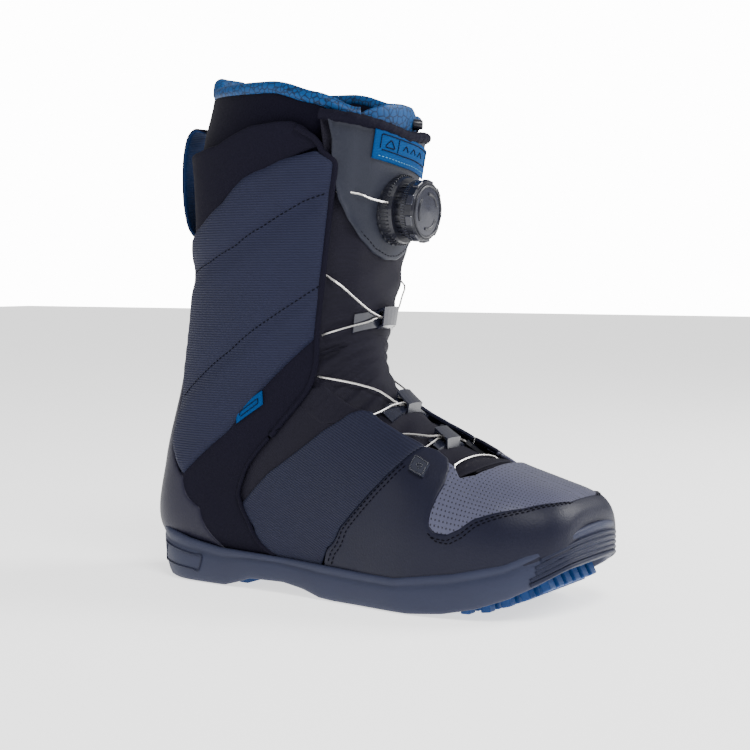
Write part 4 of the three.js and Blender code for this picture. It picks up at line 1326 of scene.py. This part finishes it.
    def _trims(self) -> None:
        """Fold tag on the outer side and a raised motif on each badge."""
        corners = side_line([(83, 101), (83, 109), (102, 122), (102, 113)])
        tag = Panel(
            "side_tag_skin", on_side(corners, Side.LATERAL), Finishes.BLUE_FABRIC.build(), 1.3, 1.2, 0.3,
            1.0, 2.0
        )
        Motion.ankle_side(self._add(tag, "side_tag"))
        corners = side_line([(86, 105), (86, 108), (99, 117), (99, 114)])
        row = on_side([*corners, corners[0]], Side.LATERAL)
        mark = Stitching("side_tag_motif", [row], Finishes.MOTIF.build(), 1.4, 1.6, 0.3, 1.5)
        Motion.ankle_side(mark.build())
        for side in Side:
            u0, u1, g0, g1 = 4.83, 5.15, 0.724, 0.776
            frame_line = [(u0, g0), (u0, g1), (u1, g1), (u1, g0), (u0, g0)]
            peak = [(4.92, 0.738), (5.06, 0.75), (4.92, 0.762), (4.92, 0.738)]
            rows = [on_side(line, side) for line in (frame_line, peak)]
            motif = Stitching(f"badge_motif_{side.label}", rows, Finishes.GLOSS.build(), 1.2, 1.6, 0.5, 2.6)
            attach(motif.build(), "lower")


# ---------------------------------------------------------------- tongue and liner


@dataclass
class Tongue:
    """Soft tongue, its moulded shield and its bound top edge.

    Attributes:
        pad: thickness of the tongue.
    """

    pad: float = 3.6

    @staticmethod
    def crest(first: float, last: float, count: int = 24) -> list[Place]:
        """Top edge of the tongue, higher on the outer side.

        Args:
            first: girth share where it starts.
            last: girth share where it ends.
            count: how many.

        Returns:
            Places along the edge.
        """
        g = np.linspace(first, last, count)
        rise = np.where(g > 1, 1.05 * (g - 1), 0.25 * (1 - g))
        return [(float(14.72 + r), float(k)) for r, k in zip(rise, g)]

    @staticmethod
    def tuck(u: Array, g: Array) -> Array:
        """Drop of the shield's sides, under the lace and the upper.

        Args:
            u: stations, not used.
            g: girth shares.

        Returns:
            Heights in millimetres.
        """
        return -2.4 * smooth(np.abs(g - 1), 0.15, 0.24) - 0.6 * smooth(np.abs(g - 1), 0.26, 0.32)

    @staticmethod
    def sink(u: Array, g: Array) -> Array:
        """Drop of the tongue's edges under the upper, and soft folds across it.

        Args:
            u: stations.
            g: girth shares.

        Returns:
            Heights in millimetres.
        """
        away = np.abs(g - 1)
        folds = 0.7 * np.sin(u * 9 + 5 * away) * smooth(away, 0.02, 0.12)
        deep = 3.4 * smooth(away, 0.17, 0.27) * (0.25 + 0.75 * smooth(u, 8.6, 9.8))
        return folds - deep

    def build(self) -> None:
        """Builds the lower and upper skins, the shield, the binding and the label."""
        low = [
            (4.05, 0.97), (4.12, 0.88), (4.3, 0.8), (5.6, 0.78), (6.8, 0.74), (8.0, 0.68), (9.4, 0.66),
            (10.35, 0.68)
        ]
        edge = [(10.3, 0.7), (11.5, 0.69), (13.0, 0.68), (14.3, 0.66)]
        lower = [*over_top(low, Side.LATERAL), *reversed(low)]
        upper = [*edge, *self.crest(0.66, 1.36), *over_top(list(reversed(edge)), Side.LATERAL)]
        for name, outline, nodes, bend in (
            ("tongue_skin_lower", lower, ("tongue_lower", "tongue_crease"), Motion.tongue_base),
            ("tongue_skin_upper", upper, ("tongue_pad",), Motion.tongue_hinge),
        ):
            skin = Panel(name, outline, Finishes.STRETCH.build(), -1.0, self.pad)
            skin.surface, skin.relief = LAST.tongue_points, self.sink
            piece = skin.build()
            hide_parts(*nodes)
            bend(piece)
        self._shield()
        self._binding()
        self._label()

    def on_shield(self, u: Array, g: Array) -> Array:
        """Height of the shield's face.

        Args:
            u: stations.
            g: girth shares.

        Returns:
            Heights in millimetres.
        """
        return 0.95 + self.tuck(u, g)

    def _shield(self) -> None:
        """Moulded plate under the dial, with a stitched edge."""
        low = [
            (12.38, 0.96), (12.51, 0.88), (12.77, 0.81), (13.11, 0.755), (13.5, 0.715), (14.1, 0.685),
            (14.6, 0.68)
        ]
        outline = [*reversed(over_top(low, Side.LATERAL)), *low, *self.crest(0.68, 1.34)]
        surface = LAST.tongue_points
        shield = Panel(
            "tongue_shield_skin", outline, Finishes.SHIELD.build(), 0.9, 1.8, edge=0.8,
            surface=surface, relief=self.tuck
        )
        piece = shield.build()
        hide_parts("tongue_shield")
        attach(piece, "tongue")
        inner = [(u + 0.07, g + 0.012) for u, g in low]
        row = all_round(inner, True)
        stitch = Stitching(
            "shield_stitch", [row], Finishes.THREAD.build(), off=self.on_shield, surface=surface
        )
        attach(stitch.build(), "tongue")

    def _binding(self) -> None:
        """Thick bound edge across the top of the tongue, with soft folds."""
        u, g = np.array(self.crest(0.68, 1.36, 150)).T
        path = LAST.tongue_points(u, g, -0.6 - 1.6 * smooth(np.abs(g - 1), 0.2, 0.34))
        piece = tube("tongue_binding_roll", path, 3.4, Finishes.SOFTSHELL.build(), 16)
        centre = world(path)
        for vert in piece.data.vertices:
            co = np.array(vert.co)
            k = int(np.argmin(((centre - co) ** 2).sum(1)))
            out = co - centre[k]
            fold = 1 + 0.05 * math.sin(k * 0.55) + 0.03 * math.sin(k * 1.3 + out[2] * 900)
            vert.co = Vector(centre[k] + out * fold)
        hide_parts("tongue_binding")
        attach(piece, "tongue")

    def _label(self) -> None:
        """Woven label with a plain motif."""
        left, right = LAST.share(14.4, -32), LAST.share(14.4, 32)
        low, high = 14.1, 14.66
        surface = LAST.tongue_points
        outline = [(low + 0.16, left), (low - 0.16, right), (high - 0.16, right), (high + 0.16, left)]
        label = Panel(
            "tongue_label_skin", outline, Finishes.BLUE_FABRIC.build(), 1.9, 0.9, edge=0.2, roll=1.0,
            step=2.6, surface=surface
        )
        piece = label.build()
        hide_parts("tongue_label")
        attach(piece, "tongue")

        def spot(across: float, up: float) -> Place:
            """Place on the label, across in millimetres and up as a share of its height."""
            share = LAST.share(14.4, across)
            return low + 0.16 * (share - 1) / (left - 1) + (high - low) * up, share

        frame_line = [spot(-28, 0.36), spot(-28, 0.88), spot(28, 0.88), spot(28, 0.36), spot(-28, 0.36)]
        divider = [spot(-13, 0.36), spot(-13, 0.88)]
        peak = [spot(-25, 0.48), spot(-20.5, 0.76), spot(-16, 0.48), spot(-25, 0.48)]
        waves = [[spot(x, 0.5), spot(x + 4, 0.74), spot(x + 8, 0.5)] for x in (-8, 2, 12)]
        rows = [frame_line, divider, peak, *waves]
        motif = Stitching("label_motif", rows, Finishes.MOTIF.build(), 1.3, 1.5, 0.42, 2.0, surface)
        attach(motif.build(), "tongue")
        row = [spot(-30, 0.14), spot(0, 0.14), spot(30, 0.14)]
        thread = Stitching(
            "label_thread", [row], Finishes.THREAD_BLUE.build(), 3.0, 2.0, 0.35, 2.0, surface
        )
        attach(thread.build(), "tongue")


@dataclass
class Liner:
    """Foam liner: foot, cuff, tongue and piped rim.

    Attributes:
        out: height of the liner's outside above the boot's surface.
        wall: thickness of the foam.
    """

    out: float = -6.4
    wall: float = 6.6

    def build(self) -> None:
        """Builds the liner's four soft pieces."""
        material = Finishes.LINER.build()
        cuff = self._shell("liner_cuff_skin", (9.0, 15.5), (-0.78, 0.78), material)
        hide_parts("liner_cuff")
        Motion.ankle_side(cuff)
        foot_piece = self._shell("liner_foot_skin", (1.0, 9.2), (-1.0, 1.0), material)
        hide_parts("liner_foot")
        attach(foot_piece, "lower")
        self._tongue()
        self._rim()

    def top(self, g: Array) -> Array:
        """Station of the liner's top edge at a girth share.

        Args:
            g: girth shares.

        Returns:
            Stations.
        """
        away = np.abs(g)
        back, front, slope = smooth(away, 0.06, 0.2), smooth(away, 0.5, 0.62), smooth(away, 0.6, 0.76)
        return 15.98 - 0.36 * back - 0.22 * front - 0.3 * slope

    def lean(self, u: Array, g: Array) -> Array:
        """Height of the liner's outside; its top leans in at the back.

        Args:
            u: stations.
            g: girth shares.

        Returns:
            Heights in millimetres.
        """
        away = np.abs(g)
        back = 12 * smooth(u, 14.2, 15.9) * (1 - smooth(away, 0.15, 0.6))
        return self.out - back - 5 * smooth(away, 0.62, 0.7) * (1 - smooth(u, 14.4, 15.2))

    def _shell(
        self, name: str, stations: tuple[float, float], shares: tuple[float, float],
        material: bpy.types.Material
    ) -> bpy.types.Object:
        """Foam wall lofted between two stations.

        Args:
            name: piece name.
            stations: first and last station.
            shares: first and last girth share.
            material: its finish.

        Returns:
            The wall's object.
        """
        rows, columns = 44, 72
        closed = shares[1] - shares[0] > 1.99
        g = np.linspace(*shares, columns, endpoint=not closed)
        u = np.linspace(*stations, rows)[:, None] * np.ones(columns)
        if stations[1] > 10:
            u = stations[0] + (self.top(g)[None] - 0.02 - stations[0]) * np.linspace(0, 1, rows)[:, None]
        places = LAST.points(u, g[None], self.lean(u, g[None]))
        low, high = Sole().heights(places[..., 0])
        places[..., 2] = np.maximum(places[..., 2], low + 0.46 * (high - low) + 1.3)
        points = world(places)
        bm = bmesh.new()
        uv = bm.loops.layers.uv.new("UVMap")
        grid = [[bm.verts.new(p) for p in row] for row in points]
        for i in range(rows - 1):
            for j in range(columns if closed else columns - 1):
                k = (j + 1) % columns
                face = bm.faces.new([grid[i][j], grid[i][k], grid[i + 1][k], grid[i + 1][j]])
                for loop, place in zip(face.loops, ((i, j), (i, j + 1), (i + 1, j + 1), (i + 1, j))):
                    loop[uv].uv = (place[1] * 0.006, place[0] * 0.006)
        piece = link(name, bm, material)
        centre = Vector(world(LAST.points(np.array(stations).mean(), 0.0, 0.0)))
        inward = Vector(world(LAST.points(np.array(stations).mean(), 0.0, -10.0))) - centre
        polygon = min(piece.data.polygons, key=lambda f: (f.center - centre).length)
        if polygon.normal.dot(inward) > 0:
            piece.data.flip_normals()
        modifier(piece, "SOLIDIFY", thickness=self.wall * MM, offset=-1.0)
        return piece

    def _tongue(self) -> None:
        """Padded tongue of the liner, with a moulded blue face."""
        g0, g1 = 0.72, 1.28
        top = [(15.0, g0), (15.2, 0.8), (15.34, 0.9), (15.36, 1.0), (15.34, 1.1), (15.2, 1.2), (15.0, g1)]
        outline = [(9.8, g1), (9.8, g0), *top]
        piece = Panel(
            "liner_tongue_skin", outline, Finishes.LINER_TONGUE.build(), self.out - 0.4, 5.2,
            edge=2.0, roll=5, surface=LAST.tongue_points
        ).build()
        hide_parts("liner_tongue")
        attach(piece, "liner_tongue")

    def _rim(self) -> None:
        """Piped roll along the liner's top edge."""
        g = np.linspace(-0.77, 0.77, 150)
        path = LAST.points(self.top(g), g, self.lean(self.top(g), g) - self.wall / 2 + 0.5)
        piece = tube("liner_rim_roll", path, self.wall / 2 + 1.0, Finishes.BLUE_TRIM.build(), 16)
        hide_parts("liner_rim")
        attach(piece, "cuff")


# ---------------------------------------------------------------- outsole


def closed_curve(points: Array, count: int) -> Array:
    """Smooth closed curve through points, at even steps.

    Args:
        points: corners in order, two columns.
        count: number of points wanted.

    Returns:
        The curve's points.
    """
    p = np.asarray(points, float)
    out = []
    for i in range(len(p)):
        a, b, c, d = (p[(i + k) % len(p)] for k in (-1, 0, 1, 2))
        t = np.linspace(0, 1, 24, endpoint=False)[:, None]
        out.append(
            b + 0.5 * ((c - a) * t + (2 * a - 5 * b + 4 * c - d) * t**2 + (3 * b - a - 3 * c + d) * t**3)
        )
    curve = np.vstack([*out, p[:1]])
    at = np.concatenate([[0], np.cumsum(np.linalg.norm(np.diff(curve, axis=0), axis=1))])
    t = np.linspace(0, at[-1], count, endpoint=False)
    return np.stack([np.interp(t, at, curve[:, k]) for k in range(curve.shape[1])], -1)


@dataclass
class Sole:
    """Cup outsole with a sculpted sidewall, a ribbed toe bumper and tread lugs.

    Attributes:
        count: points round the outline.
        swell: how far the sidewall stands outside the upper's outline.
    """

    count: int = 260
    swell: float = 1.6

    # x, middle y, half width
    PLAN = [
        (8.5, 0, 16), (15.5, 0, 27.5), (28, 0, 35.5), (47, 0, 40.5), (82, 0, 43), (130, 0, 46),
        (172, 0, 51.5),
        (208, 0, 57), (240, 1, 57), (266, 2, 53.5), (284, 5, 46), (294, 7, 33), (298.5, 8, 15),
    ]
    TOP = [
        (-20, 36), (12, 36), (25, 31), (45, 27), (70, 23.5), (106, 22.5), (148, 21), (178, 20), (203, 20),
        (215, 22),
        (241, 26), (270, 33), (284, 40), (294, 47), (300, 52), (330, 53),
    ]
    BOTTOM = [
        (-20, 9), (4, 5), (12, 1.5), (22, 0.4), (72, 0.4), (80, 2.5), (92, 6.5), (118, 7), (134, 4.5),
        (146, 1), (156, 0.4),
        (212, 0.4), (234, 2.5), (254, 7), (272, 13.5), (286, 21), (296, 28), (310, 34),
    ]
    # distance out of the outline, share of the height
    PROFILE = [
        (-14, 0.2), (-6.5, 0.18), (-5.0, 0.0), (-2.6, 0.0), (-1.3, 0.03), (-0.5, 0.1), (0.1, 0.2),
        (0.5, 0.34), (0.6, 0.48), (0.45, 0.6),
        (0.2, 0.7), (-0.5, 0.74), (-0.5, 0.79), (0.2, 0.83), (0.1, 0.93), (-0.4, 0.985), (-1.3, 1.0),
        (-3.0, 0.99),
        (-4.2, 0.9), (-4.6, 0.45), (-12, 0.4),
    ]

    def outline(self) -> Array:
        """Plan outline, from the heel along the outer side to the toe and back.

        Returns:
            Points with x and y, in millimetres.
        """
        rows = np.array(self.PLAN, float)
        outer = np.stack([rows[:, 0], rows[:, 1] - rows[:, 2]], -1)
        inner = np.stack([rows[:, 0], rows[:, 1] + rows[:, 2]], -1)[::-1]
        heel, toe = [(6.0, 0.0)], [(299.5, 8.0)]
        return closed_curve(np.vstack([heel, outer, toe, inner]), self.count)

    def heights(self, x: Array) -> tuple[Array, Array]:
        """Bottom and top of the sidewall at x.

        Args:
            x: distances forward.

        Returns:
            Heights of the bottom and of the top.
        """
        low, high = np.array(self.BOTTOM, float), np.array(self.TOP, float)
        return np.interp(x, *low.T), np.interp(x, *high.T)

    def ring(self, outline: Array, out: float, share: float) -> Array:
        """Points of one level of the sidewall.

        Args:
            outline: the sole's plan outline.
            out: distance out of the outline.
            share: share of the sidewall's height.

        Returns:
            Points with a last axis of three, in millimetres.
        """
        edge = np.roll(outline, -1, 0) - np.roll(outline, 1, 0)
        edge /= np.linalg.norm(edge, axis=1, keepdims=True)
        normal = np.stack([edge[:, 1], -edge[:, 0]], -1)
        plan = outline + normal * (out + self.swell)
        low, high = self.heights(outline[:, 0])
        heel = smooth(-outline[:, 0], -40, -4) * (1 - share) * 4.5
        plan = plan - normal * heel[:, None]
        return np.column_stack([plan, low + (high - low) * share])

    def build(self) -> None:
        """Builds the sidewall, the lasting board, the bumper's ribs, the heel frames and the lugs."""
        outline = self.outline()
        bm = bmesh.new()
        rings = []
        for out, share in self.PROFILE:
            ring = world(self.ring(outline, out, share))
            rings.append([bm.verts.new(p) for p in ring])
        for low, high in zip(rings, rings[1:]):
            for i in range(self.count):
                k = (i + 1) % self.count
                bm.faces.new([low[i], low[k], high[k], high[i]])
        for ring in (rings[0], rings[-1]):
            face = bm.faces.new(ring)
            bmesh.ops.triangulate(bm, faces=[face])
        piece = link("outsole_body", bm, Finishes.OUTSOLE.build())
        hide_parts("outsole", "tread_forefoot", "midsole")
        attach(piece, "lower")
        self._board(outline)
        self._ribs(outline)
        self._panels(outline)
        self._lugs(outline)

    def _board(self, outline: Array) -> None:
        """Lasting board inside the sidewall, which rises with the toe.

        Args:
            outline: the sole's plan outline.
        """
        bm = bmesh.new()
        face = bm.faces.new([bm.verts.new(p) for p in world(self.ring(outline, -8.5, 0.46))])
        bmesh.ops.triangulate(bm, faces=[face])
        board = link("lasting_board_skin", bm, Finishes.BOARD.build())
        modifier(board, "SOLIDIFY", thickness=2.0 * MM, offset=0.0)
        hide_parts("lasting_board")
        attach(board, "lower")

    def _run(
        self, outline: Array, out: float, share: float, first: float, last: float, outer: bool
    ) -> Array:
        """Part of a level between two x, on the outer side or round the toe.

        Args:
            outline: the sole's plan outline.
            out: distance out of the outline.
            share: share of the sidewall's height.
            first: least x.
            last: greatest x.
            outer: True keeps the outer half only.

        Returns:
            The points between them.
        """
        ring = self.ring(outline, out, share)
        half = ring[: self.count // 2 + 1] if outer else ring
        return half[(half[:, 0] >= first) & (half[:, 0] <= last)]

    def _ribs(self, outline: Array) -> None:
        """Horizontal ribs of the toe bumper.

        Args:
            outline: the sole's plan outline.
        """
        for index, share in enumerate((0.14, 0.28, 0.42, 0.56, 0.7)):
            path = self._run(outline, 0.1, share, 281 + index * 1.2, 400, False)
            piece = tube(f"toe_rib_{index}", spline(path[::3], 1.2), 1.25, Finishes.BUMPER.build(), 12)
            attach(piece, "lower")

    def _panels(self, outline: Array) -> None:
        """Raised frame of the heel pod on each side.

        Args:
            outline: the sole's plan outline.
        """
        for side in Side:
            top = self.ring(outline, 0.5, 0.66)
            low = self.ring(outline, 0.5, 0.3)
            half = slice(0, self.count // 2) if side is Side.LATERAL else slice(self.count // 2, None)
            pick = [r[half][(r[half][:, 0] > 17) & (r[half][:, 0] < 58)] for r in (top, low)]
            loop = np.vstack([pick[0], pick[1][::-1], pick[0][:2]])
            piece = tube(
                f"heel_frame_{side.label}", spline(loop[::2], 1.0), 0.7, Finishes.BUMPER.build(), 10
            )
            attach(piece, "lower")

    def _lugs(self, outline: Array) -> None:
        """Blue lugs in rows under the forefoot, which show below the raised toe.

        Args:
            outline: the sole's plan outline.
        """
        bm = bmesh.new()
        field_edge = self.ring(outline, -5.5, 0.0)[:, :2]
        for row, x in enumerate(np.arange(160, 297, 9.5)):
            for y in np.arange(-52 + (row % 2) * 5.5, 56, 11):
                corners = np.array([[x + dx, y + dy] for dx in (-3, 3) for dy in (-3.6, 3.6)])
                if not inside(corners, field_edge).all():
                    continue
                low = self.heights(np.array(x))[0]
                depth = 5.0 + 3.0 * float(smooth(x, 225, 262))
                bottom = max(0.0, float(low) - 4.2 * float(smooth(x, 225, 262)))
                middle = Vector(world([x, y, bottom + depth / 2]))
                size = Matrix.Diagonal((6.0 * MM, 7.2 * MM, depth * MM, 1))
                turn = Matrix.Rotation(-0.5 * float(smooth(x, 235, 290)), 4, "Y")
                bmesh.ops.create_cube(bm, size=1.0, matrix=Matrix.Translation(middle) @ turn @ size)
        piece = link("forefoot_lugs", bm, Finishes.BLUE_RUBBER.build(), flat=True)
        modifier(piece, "BEVEL", width=0.8 * MM, segments=2, limit_method="ANGLE")
        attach(piece, "lower")


# ---------------------------------------------------------------- fittings


class Fittings:
    """Dial relief, pull loop, footbed and lace lock."""

    RIDGES = (
        ("dial_base_ridges", 54, 20.4, 3.4, (1.7, 1.0, 4.6), "tongue"),
        ("dial_base_teeth", 26, 20.9, -0.4, (1.5, 2.6, 1.4), "tongue"),
        ("dial_knob_ridges", 72, 17.9, 14.2, (0.9, 0.7, 2.6), "dial_knob"),
        ("dial_knob_grips", 9, 17.6, 18.2, (2.4, 6.6, 4.4), "dial_knob"),
    )
    LOOP_SIDE = [
        (33, 283), (26, 284.5), (20, 279), (16.8, 266), (16.2, 250), (17.2, 235), (20.5, 222), (26, 215.5),
        (33, 213)
    ]

    def build(self) -> None:
        """Builds every fitting."""
        for row in self.RIDGES:
            self._ridges(*row)
        self._face()
        self._loop()
        self._footbed()
        self._lock()

    def _at(self, angle: float, radius: float, along: float) -> Matrix:
        """Place and turn of a point on the dial, in millimetres.

        Args:
            angle: angle round the axis.
            radius: distance from the axis.
            along: distance along it.

        Returns:
            The matrix.
        """
        joint = next(j for j in frame["joints"] if j["name"] == "knob_turn")
        axis, across = Vector(joint["axis"]).normalized(), Vector((0, 1, 0))
        radial = across * math.cos(angle) + axis.cross(across) * math.sin(angle)
        turn = Matrix((radial, axis.cross(radial), axis)).transposed().to_4x4()
        return Matrix.Translation(Vector(joint["pos_m"]) + (axis * along + radial * radius) * MM) @ turn

    def _ridges(
        self, name: str, count: int, radius: float, along: float, size: tuple[float, float, float],
        body: str
    ) -> None:
        """Ring of small blocks round the dial.

        Args:
            name: piece name.
            count: how many.
            radius: distance from the axis.
            along: distance along it.
            size: a block's sides.
            body: body that carries them.
        """
        bm = bmesh.new()
        scale = Matrix.Diagonal((*(v * MM for v in size), 1))
        for k in range(count):
            bmesh.ops.create_cube(
                bm, size=1.0, matrix=self._at(math.tau * k / count, radius, along) @ scale
            )
        piece = link(
            name, bm, (Finishes.BLACK_PLASTIC if body == "tongue" else Finishes.GLOSS).build(), flat=True
        )
        modifier(piece, "BEVEL", width=min(size) * 0.3 * MM, segments=2, limit_method="ANGLE")
        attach(piece, body)

    def _face(self) -> None:
        """Raised rim, three arrows and a plain triangle on the knob's face."""
        arcs = {"rim": (0.0, math.tau, 15.2, 0.8, 90), "mark": (0.0, math.tau, 3.4, 0.45, 4)}
        arcs |= {f"arrow_{k}": (k * 2.094 + 0.3, k * 2.094 + 1.6, 10.4, 1.0, 20) for k in range(3)}
        for name, (first, last, radius, thick, count) in arcs.items():
            angles = np.linspace(first, last, count)
            path = np.array([self._at(a, radius, 21.0).translation for a in angles]) / MM + np.array(ORIGIN)
            finish = Finishes.STEEL if name == "mark" else Finishes.BLACK_PLASTIC
            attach(tube(f"dial_face_{name}", path, thick, finish.build(), 12), "dial_knob")

    def _loop(self) -> None:
        """Webbing pull loop at the back, black outside and blue inside."""
        path = spline(np.array([(x, 0.5, z) for x, z in self.LOOP_SIDE], float), 2.0)
        along = np.gradient(path, axis=0)
        along /= np.linalg.norm(along, axis=1, keepdims=True)
        inward = np.stack([-along[:, 2], 0 * along[:, 0], along[:, 0]], -1)
        # the lining's darker blue finish is painted shade
        for name, depth, finish in (
            ("pull_loop_webbing", 0.0, Finishes.SOFTSHELL), ("pull_loop_lining", 1.0, Finishes.LOOP)
        ):
            bm = bmesh.new()
            bmesh.ops.create_grid(bm, x_segments=len(path) - 1, y_segments=8, size=0.5)
            for vert in bm.verts:
                i = round((vert.co.x + 0.5) * (len(path) - 1))
                place = path[i] + inward[i] * depth
                vert.co = Vector(world(place + np.array([0.0, vert.co.y * 21.0, 0.0])))
            piece = link(name, bm, finish.build())
            modifier(piece, "SOLIDIFY", thickness=0.9 * MM, offset=0.0)
            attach(piece, "cuff")
            if depth == 0.0:
                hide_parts("pull_loop")

    def _footbed(self) -> None:
        """Soft footbed inside the liner."""
        sole = Sole()
        ring = sole.ring(sole.outline(), -15.5, 0.5)
        ring[:, 2] = 27.0 + 0.7 * sole.heights(ring[:, 0])[0]
        bm = bmesh.new()
        bmesh.ops.triangulate(bm, faces=[bm.faces.new([bm.verts.new(p) for p in world(ring)])])
        piece = link("footbed_skin", bm, Finishes.BLUE_FABRIC.build())
        modifier(piece, "SOLIDIFY", thickness=4.0 * MM, offset=0.0)
        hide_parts("footbed")
        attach(piece, "lower")

    def _lock(self) -> None:
        """Small round lock of the liner's lace."""
        low, high = (
            Vector(world(LAST.tongue_points(np.array(15.02), np.array(0.87), off))) for off in (-7.0, -2.0)
        )
        turn = (high - low).to_track_quat("Z", "Y").to_matrix().to_4x4()
        bm = bmesh.new()
        matrix = Matrix.Translation((low + high) / 2) @ turn
        bmesh.ops.create_cone(
            bm, cap_ends=True, segments=32, radius1=3.6 * MM, radius2=2.9 * MM, depth=6 * MM, matrix=matrix
        )
        piece = link("liner_lace_lock_button", bm, Finishes.BLACK_PLASTIC.build())
        modifier(piece, "BEVEL", width=0.6 * MM, segments=3, limit_method="ANGLE")
        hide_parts("liner_lace_lock")
        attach(piece, "liner_tongue")


# ---------------------------------------------------------------- pieces kept from the frame


class Hard:
    """Finishes of the moulded and metal pieces that keep their CAD shape."""

    TABLE: dict[str, Finish] = {
        "outsole": Finishes.OUTSOLE,
        "tread": Finishes.BLUE_RUBBER,
        "midsole": Finishes.FOAM,
        "lasting": Finishes.BOARD,
        "badge": Finishes.BADGE,
        "lace_guide": Finishes.GLOSS,
        "lace_tube": Finishes.BLACK_PLASTIC,
        "lace": Finishes.STEEL,
        "footbed": Finishes.BLUE_FABRIC,
        "pull_loop": Finishes.LOOP,
        "side_tag": Finishes.BLUE_FABRIC,
        "dial_screw": Finishes.STEEL,
        "dial_spool": Finishes.GREY_PLASTIC,
        "dial_ratchet": Finishes.GREY_PLASTIC,
        "dial_cap": Finishes.GLOSS,
        "dial": Finishes.BLACK_PLASTIC,
        "liner_lace_lock": Finishes.BLACK_PLASTIC,
    }

    def dress(self, nodes: dict[str, bpy.types.Object]) -> None:
        """Gives each shown CAD node its material.

        Args:
            nodes: the frame's objects by name.
        """
        for name, node in nodes.items():
            key = max((k for k in self.TABLE if name.startswith(k)), key=len, default=None)
            finish = self.TABLE[key] if key else Finishes.SMOOTH
            node.data.materials.clear()
            node.data.materials.append(finish.build())


# ---------------------------------------------------------------- setting


@dataclass(frozen=True)
class Setting:
    """Floor, lights and camera.

    Attributes:
        azimuth: camera azimuth in degrees.
        elevation: camera elevation in degrees.
        distance: camera distance in metres.
        lens: focal length in millimetres.
        shift: sensor shift, across and up.
    """

    azimuth: float = 32.0
    elevation: float = 2.5
    distance: float = 1.0
    lens: float = 78.72
    shift: tuple[float, float] = (0.01067, -0.04267)

    FLOOR_GLOW = 1.3
    SURROUND_LIGHT = 0.42
    SURROUND_SEEN = 14.0
    LIGHTS = (
        ("key", (0.9, -0.7, 1.6), 0.7, 30.0),
        ("fill", (-1.2, -1.2, 0.7), 1.0, 7.0),
        ("rim", (1.0, 0.9, 0.9), 0.7, 26.0),
    )

    def build(self) -> None:
        """Sets up the whole setting."""
        self._floor()
        self._lights()
        self._camera()

    def _floor(self) -> None:
        """Pale matt floor."""
        bm = bmesh.new()
        bmesh.ops.create_grid(bm, x_segments=1, y_segments=1, size=6.0)
        material = bpy.data.materials.new("floor_pale")
        material.use_nodes = True
        shader = material.node_tree.nodes["Principled BSDF"]
        shader.inputs["Base Color"].default_value = (0.92, 0.92, 0.92, 1)
        shader.inputs["Roughness"].default_value = 0.9
        shader.inputs["Emission Color"].default_value = (1, 1, 1, 1)
        shader.inputs["Emission Strength"].default_value = self.FLOOR_GLOW
        floor = link("floor", bm, material)

    def _lights(self) -> None:
        """Soft key, fill and rim lights and a bright surround."""
        scene_world = bpy.data.worlds.new("surround")
        scene_world.use_nodes = True
        back = scene_world.node_tree.nodes["Background"]
        nodes, links = scene_world.node_tree.nodes, scene_world.node_tree.links
        back.inputs["Color"].default_value = (1, 1, 1, 1)
        rays = nodes.new("ShaderNodeLightPath")
        power = nodes.new("ShaderNodeMapRange")
        power.inputs["To Min"].default_value = self.SURROUND_LIGHT
        power.inputs["To Max"].default_value = self.SURROUND_SEEN
        links.new(rays.outputs["Is Camera Ray"], power.inputs["Value"])
        links.new(power.outputs["Result"], back.inputs["Strength"])
        bpy.context.scene.world = scene_world
        centre = Vector((0, 0, 0.15))
        for name, place, size, watts in self.LIGHTS:
            data = bpy.data.lights.new(name, "AREA")
            data.size = size
            data.energy = watts
            light = bpy.data.objects.new(name, data)
            light.location = place
            light.rotation_euler = (centre - Vector(place)).to_track_quat("-Z", "Y").to_euler()
            bpy.context.scene.collection.objects.link(light)

    def _camera(self) -> None:
        """Camera at the viewing angle."""
        a, e = math.radians(self.azimuth), math.radians(self.elevation)
        back = Vector((math.sin(a) * math.cos(e), -math.cos(a) * math.cos(e), math.sin(e)))
        target = Vector(world([150.0, 0.0, 150.0]))
        data = bpy.data.cameras.new("camera")
        data.lens = self.lens
        data.sensor_width = 36.0
        data.shift_x, data.shift_y = self.shift
        camera = bpy.data.objects.new("camera", data)
        camera.location = target + back * self.distance
        camera.rotation_euler = (-back).to_track_quat("-Z", "Y").to_euler()
        bpy.context.scene.collection.objects.link(camera)
        bpy.context.scene.camera = camera


def main() -> None:
    """Builds the boot's looks round its frame."""
    logging.basicConfig(level=logging.INFO, format="%(message)s")
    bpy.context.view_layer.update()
    for part in (Sole(), Upper(), Tongue(), Liner(), Fittings()):
        part.build()
        LOG.info("built %s", type(part).__name__)
    Hard().dress(frame["nodes"])
    Setting().build()


if __name__ == "__main__":
    main()
